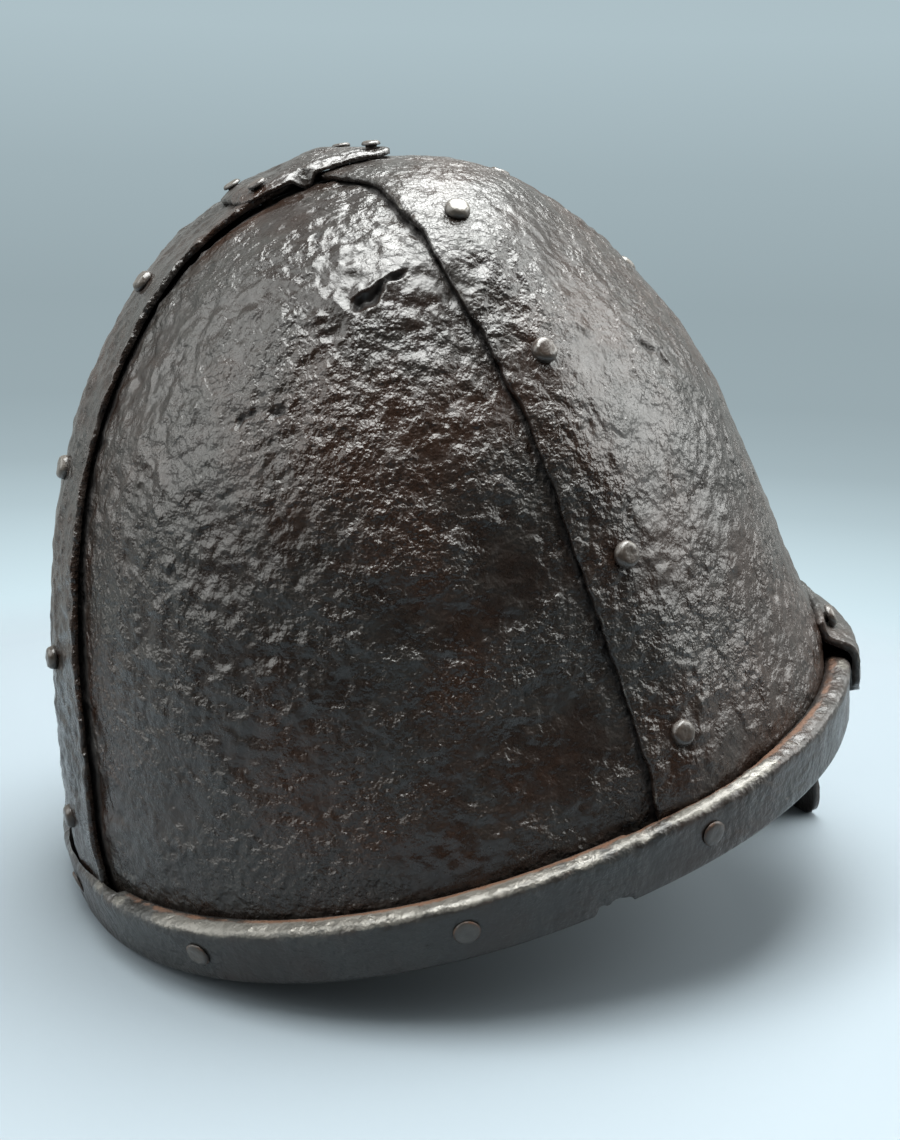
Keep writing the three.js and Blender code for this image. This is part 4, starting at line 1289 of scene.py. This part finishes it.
HEAD_PROFILE = [
    {"radius": 0.45, "height": -0.06},
    {"radius": 0.90, "height": -0.08},
    {"radius": 0.99, "height": 0.04},
    {"radius": 1.00, "height": 0.20},
    {"radius": 0.97, "height": 0.44},
    {"radius": 0.89, "height": 0.72},
    {"radius": 0.76, "height": 0.91},
    {"radius": 0.58, "height": 0.98},
    {"radius": 0.34, "height": 0.97},
    {"radius": 0.10, "height": 0.95},
]


def rivet_section(low, seat, rise, radius):
    """Distance from the axis and place along it, from the tail inside to the top of the head."""
    section = [
        (RIVET_TAIL * 0.2, low),
        (RIVET_TAIL * 0.42, low + 0.1),
        (RIVET_TAIL * 0.5, low + 0.5 * RIVET_TAIL_RISE),
        (RIVET_TAIL * 0.47, low + RIVET_TAIL_RISE),
        (RIVET_SHANK / 2, low + RIVET_TAIL_RISE),
        (RIVET_SHANK / 2, seat - HEAD_SEAT),
    ]
    base = seat - HEAD_SEAT
    for row in HEAD_PROFILE:
        section.append((row["radius"] * radius, base + row["height"] * (rise + HEAD_SEAT)))
    return section


def turned_faces(count):
    """Faces of a section turned round its axis, closed by a point at each end."""
    faces = []
    for i in range(0, (count - 1) * RIVET_SIDES, RIVET_SIDES):
        for j in range(RIVET_SIDES):
            k = (j + 1) % RIVET_SIDES
            faces.append((i + j, i + k, i + RIVET_SIDES + k, i + RIVET_SIDES + j))
    last = (count - 1) * RIVET_SIDES
    for j in range(RIVET_SIDES):
        k = (j + 1) % RIVET_SIDES
        faces.append((k, j, count * RIVET_SIDES))
        faces.append((last + j, last + k, count * RIVET_SIDES + 1))
    return faces


print("a rivet has", len(turned_faces(len(rivet_section(0, 8, 2, 3)))), "faces")

# %% Marks on a rivet
BRIGHT_RING = {"at": 0.8, "wide": 0.22, "most": 0.6}
DULL_CENTRE = {"inside": 0.6, "most": 0.5}
DIRT_RING = {"wide": 0.5, "most": 0.8}
BAND_RUST_RING = {"at": 0.95, "wide": 0.2, "most": 0.5}


def ring_mark(value, ring):
    """The mark's full strength in the middle of a ring, falling to 0 at its two sides."""
    return np.clip(1 - np.abs(value - ring.get("at", 0)) / ring["wide"], 0, 1) * ring["most"]


def rivet_marks(kind, share, along, seat, rise):
    marks = no_marks(len(share))
    on_top = np.clip((along - seat) / rise, 0, 1)
    marks[:, 0] = ring_mark(share, BRIGHT_RING) * on_top
    marks[:, 1] = np.clip(DULL_CENTRE["inside"] - share, 0, 1) * on_top * DULL_CENTRE["most"]
    marks[:, 2] = ring_mark(along - seat, DIRT_RING)
    if kind == "band":
        marks[:, 0] = 0
        marks[:, 1] = ring_mark(share, BAND_RUST_RING)
    return marks


print("the bright ring lies at", BRIGHT_RING["at"], "of a head's radius")

# %% Rivets
ANY_SIDE = (0.3, 0.5, 0.81)
HEAD_BLEND = 0.4
SEED_STEP = 37.0
SPREAD = [{"by": 0.07, "wide": 3.4, "seed": 81}, {"by": 0.03, "wide": 1.2, "seed": 82}]
HAMMERED = [{"by": 0.09, "wide": 2.3, "seed": 83}, {"by": 0.05, "wide": 1.0, "seed": 84}]


def uneven(points, layers):
    return sum(row["by"] * lumps(points, row["wide"], row["seed"]) for row in layers)


def rivet(node, number):
    middle, way, low, high, radius = rivet_axis(node)
    kind = node.split("_")[0]
    place = level(middle)
    if kind == "band":
        high = high - closeness(math.atan2(place[1], place[0])) * place[2] / SHOULDER_HEIGHT
    seat = high - RIVET_RISE[kind]
    rise = RIVET_RISE[kind] * RIVET_KEPT[kind]
    section = rivet_section(low, seat, rise, radius)
    side = unit(np.cross(way, ANY_SIDE))
    other = np.cross(way, side)
    turns = np.arange(RIVET_SIDES) * FULL_TURN / RIVET_SIDES
    spoke = side[None, :] * np.cos(turns)[:, None] + other[None, :] * np.sin(turns)[:, None]
    rings = [middle + way * height + spoke * reach for reach, height in section]
    ends = [middle + way * section[0][1], middle + way * section[-1][1]]
    points = np.concatenate([np.concatenate(rings), ends])
    along = (points - middle) @ way
    outside = points - middle - along[:, None] * way
    head = np.clip((along - seat + HEAD_SEAT) / HEAD_BLEND, 0, 1)
    seeds = points + SEED_STEP * number
    spread = 1 + head * uneven(seeds, SPREAD)
    hammered = head * rise * uneven(seeds, HAMMERED)
    points = middle + way * (along + hammered)[:, None] + outside * spread[:, None]
    share = np.linalg.norm(outside, axis=-1) / radius
    marks = rivet_marks(kind, share, along, seat, rise)
    faces = turned_faces(len(section))
    return add_piece(node + "_fine", level(points), faces, marks, "rivet_iron", node)


rivets = [rivet(node, number) for number, node in enumerate(rivet_nodes)]
print(len(rivets), "rivets dressed")

# %% [markdown]
# A material as a short recipe
#
# In Blender a material is a web of nodes. Written out in full, each link takes three lines. A small
# class with one method for each kind of node keeps the recipe below as short as it would be on paper.

# %% Nodes by short names


class Finish:
    """A material, with short ways to add and join its nodes."""

    def __init__(self, name):
        self.material = bpy.data.materials.new(name)
        self.material.use_nodes = True
        self.tree = self.material.node_tree
        self.shader = self.tree.nodes["Principled BSDF"]
        self.place = self.tree.nodes.new("ShaderNodeTexCoord").outputs["Object"]

    def put(self, value, socket):
        if isinstance(value, (int, float, tuple)):
            socket.default_value = value
        else:
            self.tree.links.new(value, socket)

    def noise(self, size_mm, detail=3, rough=0.6, stretch=None):
        node = self.tree.nodes.new("ShaderNodeTexNoise")
        node.inputs["Scale"].default_value = 1 / (size_mm * MM)
        node.inputs["Detail"].default_value = detail
        node.inputs["Roughness"].default_value = rough
        place = self.place
        if stretch:
            mapping = self.tree.nodes.new("ShaderNodeMapping")
            mapping.inputs["Scale"].default_value = stretch
            self.put(place, mapping.inputs["Vector"])
            place = mapping.outputs["Vector"]
        self.put(place, node.inputs["Vector"])
        return node.outputs[0]

    def sum(self, kind, a, b, clamp=False):
        node = self.tree.nodes.new("ShaderNodeMath")
        node.operation = kind
        node.use_clamp = clamp
        self.put(a, node.inputs[0])
        self.put(b, node.inputs[1])
        return node.outputs[0]

    def between(self, value, low, high, start=0.0, stop=1.0):
        node = self.tree.nodes.new("ShaderNodeMapRange")
        node.interpolation_type = "SMOOTHSTEP"
        self.put(value, node.inputs["Value"])
        node.inputs["From Min"].default_value = low
        node.inputs["From Max"].default_value = high
        node.inputs["To Min"].default_value = start
        node.inputs["To Max"].default_value = stop
        return node.outputs["Result"]

    def blend(self, share, a, b):
        node = self.tree.nodes.new("ShaderNodeMix")
        node.data_type = "RGBA"
        self.put(share, node.inputs["Factor"])
        self.put(a, node.inputs["A"])
        self.put(b, node.inputs["B"])
        return node.outputs["Result"]

    def patches(self, mark, size_mm, low, high):
        """A stored mark broken up into ragged patches by noise."""
        breaks = self.sum("MULTIPLY", self.noise(size_mm, 4, 0.7), 0.9)
        ragged_mark = self.between(self.sum("ADD", mark, breaks), low, high)
        return self.sum("MULTIPLY", ragged_mark, self.between(mark, 0.05, 0.3))

    def mark(self):
        attribute = self.tree.nodes.new("ShaderNodeAttribute")
        attribute.attribute_name = "marks"
        split = self.tree.nodes.new("ShaderNodeSeparateColor")
        self.put(attribute.outputs["Color"], split.inputs["Color"])
        return split.outputs["Red"], split.outputs["Green"], split.outputs["Blue"]

    def raise_grain(self, layers):
        """Stacks bumps: each has a height value and its height in millimetres."""
        normal = None
        for value, height_mm in layers:
            bump = self.tree.nodes.new("ShaderNodeBump")
            bump.inputs["Strength"].default_value = 1
            bump.inputs["Distance"].default_value = height_mm * MM
            self.put(value, bump.inputs["Height"])
            if normal:
                self.put(normal, bump.inputs["Normal"])
            normal = bump.outputs["Normal"]
        self.put(normal, self.shader.inputs["Normal"])


print("a finish has", len([name for name in vars(Finish) if name[0] != "_"]), "short ways to add nodes")

# %% [markdown]
# Iron finishes
#
# Old iron in a museum is waxed: a dark brown-black skin of oxide with a half gloss. Nearly all the
# light that it gives back is the sheen of the wax, so the colours are very dark and the surface isn't
# metallic, apart from flecks of bare steel. The three finishes share one recipe. Noises of two widths
# mix the colour, a broader one turns whole areas warm brown, and three narrow ones raise the crust,
# its wrinkles and a fine grain. The marks stored in the mesh say where steel is bare, where rust is
# orange, and where dirt or painted shade darkens the iron: shade is painted beside the seams' edges
# and on the inner faces of the band and the nose guard.

# %% Recipe for iron
BARE_STEEL = (0.115, 0.108, 0.095, 1)
ORANGE_RUST = (0.098, 0.046, 0.024, 1)
RED_BROWN = (0.0200, 0.0098, 0.0060, 1)
# the dark colour of dirt, used as well for shade painted along the seams and on inner faces
DIRT_AND_SHADE = (0.006, 0.0045, 0.004, 1)
WAXED_OXIDE_IOR = 1.42

# width in millimetres, levels of detail and roughness of each noise
NOISES = {
    "areas": (38, 4, 0.6),
    "broad": (26, 4, 0.6),
    "patch": (8, 5, 0.65),
    "crust": (4.4, 3, 0.5),
    "wrinkle": (2.2, 3, 0.55),
    "fine": (0.7, 2, 0.5),
    "scratch": (1.6, 2, 0.5),
}
# height of each kind of grain in millimetres, before a finish makes it weaker
GRAIN = {"crust": 1.1, "wrinkle": 0.75, "fine": 0.09}
SCRATCH_HEIGHT = 0.12
# how far each layer covers the one beneath it
COVER = {"brown": 0.85, "dirt_and_shade": 0.9, "rust": 0.8, "bare": 0.85}
FLECK_METAL = 0.45
COAT_ROUGHNESS = 0.16


def iron_finish(name, dark, light, gloss, grain, coat, scratches=None):
    """Waxed iron: two tones, its gloss from smoothest to roughest, the grain's height and the wax."""
    iron = Finish(name)
    bare, rust, dirt_and_shade = iron.mark()
    broad = iron.noise(*NOISES["broad"])
    patch = iron.noise(*NOISES["patch"])
    mixed = iron.sum("MULTIPLY", iron.sum("ADD", broad, patch), 0.5)
    color = iron.blend(iron.between(mixed, 0.38, 0.64), dark, light)
    brown = iron.between(iron.noise(*NOISES["areas"]), 0.40, 0.66, 0, COVER["brown"])
    color = iron.blend(brown, color, RED_BROWN)
    flecks = iron.patches(bare, 2.2, 0.78, 1.05)
    rusty = iron.patches(rust, 3, 0.72, 1.1)
    # dirt, and the shade painted into the marks, darken the colour
    color = iron.blend(iron.sum("MULTIPLY", dirt_and_shade, COVER["dirt_and_shade"]), color, DIRT_AND_SHADE)
    color = iron.blend(iron.sum("MULTIPLY", rusty, COVER["rust"]), color, ORANGE_RUST)
    color = iron.blend(iron.sum("MULTIPLY", flecks, COVER["bare"]), color, BARE_STEEL)
    iron.put(color, iron.shader.inputs["Base Color"])
    fine = iron.noise(*NOISES["fine"])
    rough = iron.between(patch, 0.35, 0.68, *gloss)
    rough = iron.sum("ADD", rough, iron.between(fine, 0.35, 0.7, -0.04, 0.06))
    rough = iron.sum("ADD", rough, iron.sum("MULTIPLY", rusty, 0.35))
    rough = iron.sum("ADD", rough, iron.sum("MULTIPLY", dirt_and_shade, 0.4), True)
    iron.put(rough, iron.shader.inputs["Roughness"])
    iron.put(iron.sum("MULTIPLY", flecks, FLECK_METAL), iron.shader.inputs["Metallic"])
    iron.shader.inputs["IOR"].default_value = WAXED_OXIDE_IOR
    iron.shader.inputs["Coat Weight"].default_value = coat
    iron.shader.inputs["Coat Roughness"].default_value = COAT_ROUGHNESS
    crusty = iron.between(broad, 0.36, 0.62, 0.4, 1.3)
    layers = []
    for layer_name in ("crust", "wrinkle"):
        height = iron.sum("MULTIPLY", iron.noise(*NOISES[layer_name]), crusty)
        layers.append((height, GRAIN[layer_name] * grain))
    layers.append((fine, GRAIN["fine"] * grain))
    if scratches:
        layers.append((iron.noise(*NOISES["scratch"], scratches), SCRATCH_HEIGHT))
    iron.raise_grain(layers)
    return iron.material


print("the recipe mixes", len(NOISES), "noises")

# %% The three finishes
crown_iron = iron_finish(
    "crown iron", dark=(0.0110, 0.0072, 0.0056, 1), light=(0.0175, 0.0155, 0.0135, 1),
    gloss=(0.25, 0.36), grain=0.9, coat=0.2)
band_iron = iron_finish(
    "band iron", dark=(0.012, 0.010, 0.0085, 1), light=(0.027, 0.027, 0.025, 1),
    gloss=(0.34, 0.50), grain=0.65, coat=0.2, scratches=(1, 1, 0.08))
rivet_iron = iron_finish(
    "rivet iron", dark=(0.028, 0.022, 0.017, 1), light=(0.085, 0.075, 0.064, 1),
    gloss=(0.32, 0.48), grain=0.35, coat=0.4)

for piece in crown_pieces + [cap]:
    piece.data.materials.append(crown_iron)
for piece in (band, nasal):
    piece.data.materials.append(band_iron)
for piece in rivets:
    piece.data.materials.append(rivet_iron)
print("finishes:", crown_iron.name, band_iron.name, rivet_iron.name)

# %% [markdown]
# The table it stands on
#
# The helmet was photographed on a pale board that sweeps up behind it. The sweep is a bowl here, a
# curve turned round the helmet, so that it looks the same from every side.

# %% Shape of the backdrop
FLOOR_RADIUS = 0.9
WALL_RADIUS = 2.2
WALL_TOP = 2.6
BOWL_SIDES = 96
FLOOR_RINGS = 12
BEND_RINGS = 16
WALL_RINGS = 3


def bowl_profile():
    """Radius and height along the sweep: a flat floor, a round corner and a wall."""
    corner = WALL_RADIUS - FLOOR_RADIUS
    flat = [(FLOOR_RADIUS * i / FLOOR_RINGS, 0.0) for i in range(1, FLOOR_RINGS + 1)]
    turns = [QUARTER * i / BEND_RINGS for i in range(1, BEND_RINGS + 1)]
    bend = [(FLOOR_RADIUS + corner * math.sin(t), corner * (1 - math.cos(t))) for t in turns]
    heights = [(WALL_TOP - corner) * i / WALL_RINGS for i in range(1, WALL_RINGS + 1)]
    wall = [(WALL_RADIUS, corner + height) for height in heights]
    return flat + bend + wall


def backdrop():
    rings = bowl_profile()
    points = [(0, 0, 0)]
    for radius, height in rings:
        for k in range(BOWL_SIDES):
            turn = FULL_TURN * k / BOWL_SIDES
            points.append((radius * math.cos(turn), radius * math.sin(turn), height))
    faces = [(0, 1 + k, 1 + (k + 1) % BOWL_SIDES) for k in range(BOWL_SIDES)]
    for i in range(len(rings) - 1):
        for k in range(BOWL_SIDES):
            a = 1 + i * BOWL_SIDES + k
            b = 1 + i * BOWL_SIDES + (k + 1) % BOWL_SIDES
            faces.append((a, a + BOWL_SIDES, b + BOWL_SIDES, b))
    mesh = bpy.data.meshes.new("backdrop")
    mesh.from_pydata(points, [], faces)
    mesh.shade_smooth()
    bowl = bpy.data.objects.new("backdrop", mesh)
    bpy.context.scene.collection.objects.link(bowl)
    return bowl


floor = backdrop()
print("backdrop radius", WALL_RADIUS, "m")

# %% [markdown]
# How the backdrop looks
#
# Close in, the board is matt and takes the shadow. Farther out it glows by itself in bands of
# grey-blue, which gives the pale line behind the helmet and the darker wall above it. The glow is
# read along the floor and then up the wall. The iron must not mirror those bands, so for it the glow
# is one plain grey, and darker on the photographer's side, where a dark room stood.

# %% Finish of the backdrop
SHADOW_REACH = 0.30
GLOW_STARTS = 0.40

# distance from the middle, in metres, and the grey of the backdrop there: the pale line, the dark
# part of the wall and the paler part over it, matched to the photo and rounded
BACKDROP = [
    {"away": 0.36, "grey": 0.85},
    {"away": 0.50, "grey": 0.72},
    {"away": 0.65, "grey": 0.58},
    {"away": 0.85, "grey": 0.47},
    {"away": 1.15, "grey": 0.40},
    {"away": 1.50, "grey": 0.39},
    {"away": 1.90, "grey": 0.44},
    {"away": 2.30, "grey": 0.53},
    {"away": 4.60, "grey": 0.50},
]
GREY_BLUE = (0.80, 1.0, 1.08)
BOARD_COLOR = (0.179, 0.209, 0.233, 1)
BOARD_ROUGHNESS = 0.55
BOARD_SHINE = 0.25
ROOM_GREY = (0.50, 0.535, 0.525, 1)
DARK_BEARING = math.radians(245)
DARK_SHARE = 0.05


def backdrop_finish():
    board = Finish("board")
    split = board.tree.nodes.new("ShaderNodeSeparateXYZ")
    board.put(board.place, split.inputs[0])
    across = board.sum("MULTIPLY", split.outputs["X"], split.outputs["X"])
    along = board.sum("MULTIPLY", split.outputs["Y"], split.outputs["Y"])
    radius = board.sum("SQRT", board.sum("ADD", across, along), 0)
    away = board.sum("ADD", radius, split.outputs["Z"])
    ramp = board.tree.nodes.new("ShaderNodeValToRGB")
    far = BACKDROP[-1]["away"]
    stops = ramp.color_ramp.elements
    while len(stops) < len(BACKDROP):
        stops.new(0.5)
    for stop, row in zip(stops, BACKDROP):
        stop.position = row["away"] / far
        stop.color = (*(row["grey"] * share for share in GREY_BLUE), 1)
    board.put(board.sum("DIVIDE", away, far), ramp.inputs[0])
    board.shader.inputs["Base Color"].default_value = BOARD_COLOR
    board.shader.inputs["Roughness"].default_value = BOARD_ROUGHNESS
    board.shader.inputs["Specular IOR Level"].default_value = BOARD_SHINE
    glow = board.tree.nodes.new("ShaderNodeEmission")
    seen = board.tree.nodes.new("ShaderNodeLightPath").outputs["Is Camera Ray"]
    board.put(board.blend(seen, ROOM_GREY, ramp.outputs["Color"]), glow.inputs["Color"])
    dark_x = board.sum("MULTIPLY", split.outputs["X"], math.cos(DARK_BEARING))
    dark_y = board.sum("MULTIPLY", split.outputs["Y"], math.sin(DARK_BEARING))
    from_axis = board.sum("MAXIMUM", radius, 0.01)
    towards = board.sum("DIVIDE", board.sum("ADD", dark_x, dark_y), from_axis)
    lit = board.between(towards, -0.1, 0.6, 1, DARK_SHARE)
    board.put(board.sum("MAXIMUM", lit, seen), glow.inputs["Strength"])
    mix = board.tree.nodes.new("ShaderNodeMixShader")
    board.put(board.between(away, SHADOW_REACH, GLOW_STARTS), mix.inputs[0])
    board.put(board.shader.outputs[0], mix.inputs[1])
    board.put(glow.outputs[0], mix.inputs[2])
    output = board.tree.nodes["Material Output"]
    board.put(mix.outputs[0], output.inputs["Surface"])
    return board.material


floor.data.materials.append(backdrop_finish())
print("the backdrop takes shadows out to", SHADOW_REACH, "m")

# %% [markdown]
# Light
#
# A wide soft box hangs over the helmet: it gives the broad sheen on the upper crown and the soft
# shadow under the raised side. Two weaker panels, at the rear and at the front right, light the
# crown's two shoulders. Its middle faces the dark side of the room and stays dark. The world adds a
# little light from above the backdrop, so that the shadow isn't black.

# %% Soft boxes
LAMPS = [
    {"name": "over", "place": (0.04, 0.0, 0.95), "bearing": 38,
     "long": 1.1, "deep": 0.6, "power": 36},
    {"name": "rear", "place": (-0.95, 0.10, 0.62), "bearing": 90,
     "long": 1.1, "deep": 0.9, "power": 13},
    {"name": "right", "place": (0.90, -0.30, 0.70), "bearing": 90,
     "long": 0.9, "deep": 0.8, "power": 15},
]
LAMP_COLOR = (0.98, 1.0, 0.98)
HELMET_MIDDLE = Vector((0, 0, 0.1))
WORLD_COLOR = (0.30, 0.36, 0.40, 1)
WORLD_STRENGTH = 0.5

for lamp in LAMPS:
    data = bpy.data.lights.new(lamp["name"], "AREA")
    data.shape = "RECTANGLE"
    data.size = lamp["long"]
    data.size_y = lamp["deep"]
    data.energy = lamp["power"]
    data.color = LAMP_COLOR
    light = bpy.data.objects.new(lamp["name"], data)
    back = (Vector(lamp["place"]) - HELMET_MIDDLE).normalized()
    bearing = math.radians(lamp["bearing"])
    up = back.cross(Vector((math.cos(bearing), math.sin(bearing), 0))).normalized()
    side = up.cross(back)
    turn = Matrix((side, up, back)).transposed().to_4x4()
    light.matrix_world = Matrix.Translation(lamp["place"]) @ turn
    bpy.context.scene.collection.objects.link(light)
    print(lamp["name"], "lights the helmet from", lamp["place"])

bpy.context.scene.view_settings.view_transform = "Standard"
world = bpy.data.worlds.new("room")
world.use_nodes = True
sky = world.node_tree.nodes["Background"]
sky.inputs["Color"].default_value = WORLD_COLOR
sky.inputs["Strength"].default_value = WORLD_STRENGTH
bpy.context.scene.world = world

# %% [markdown]
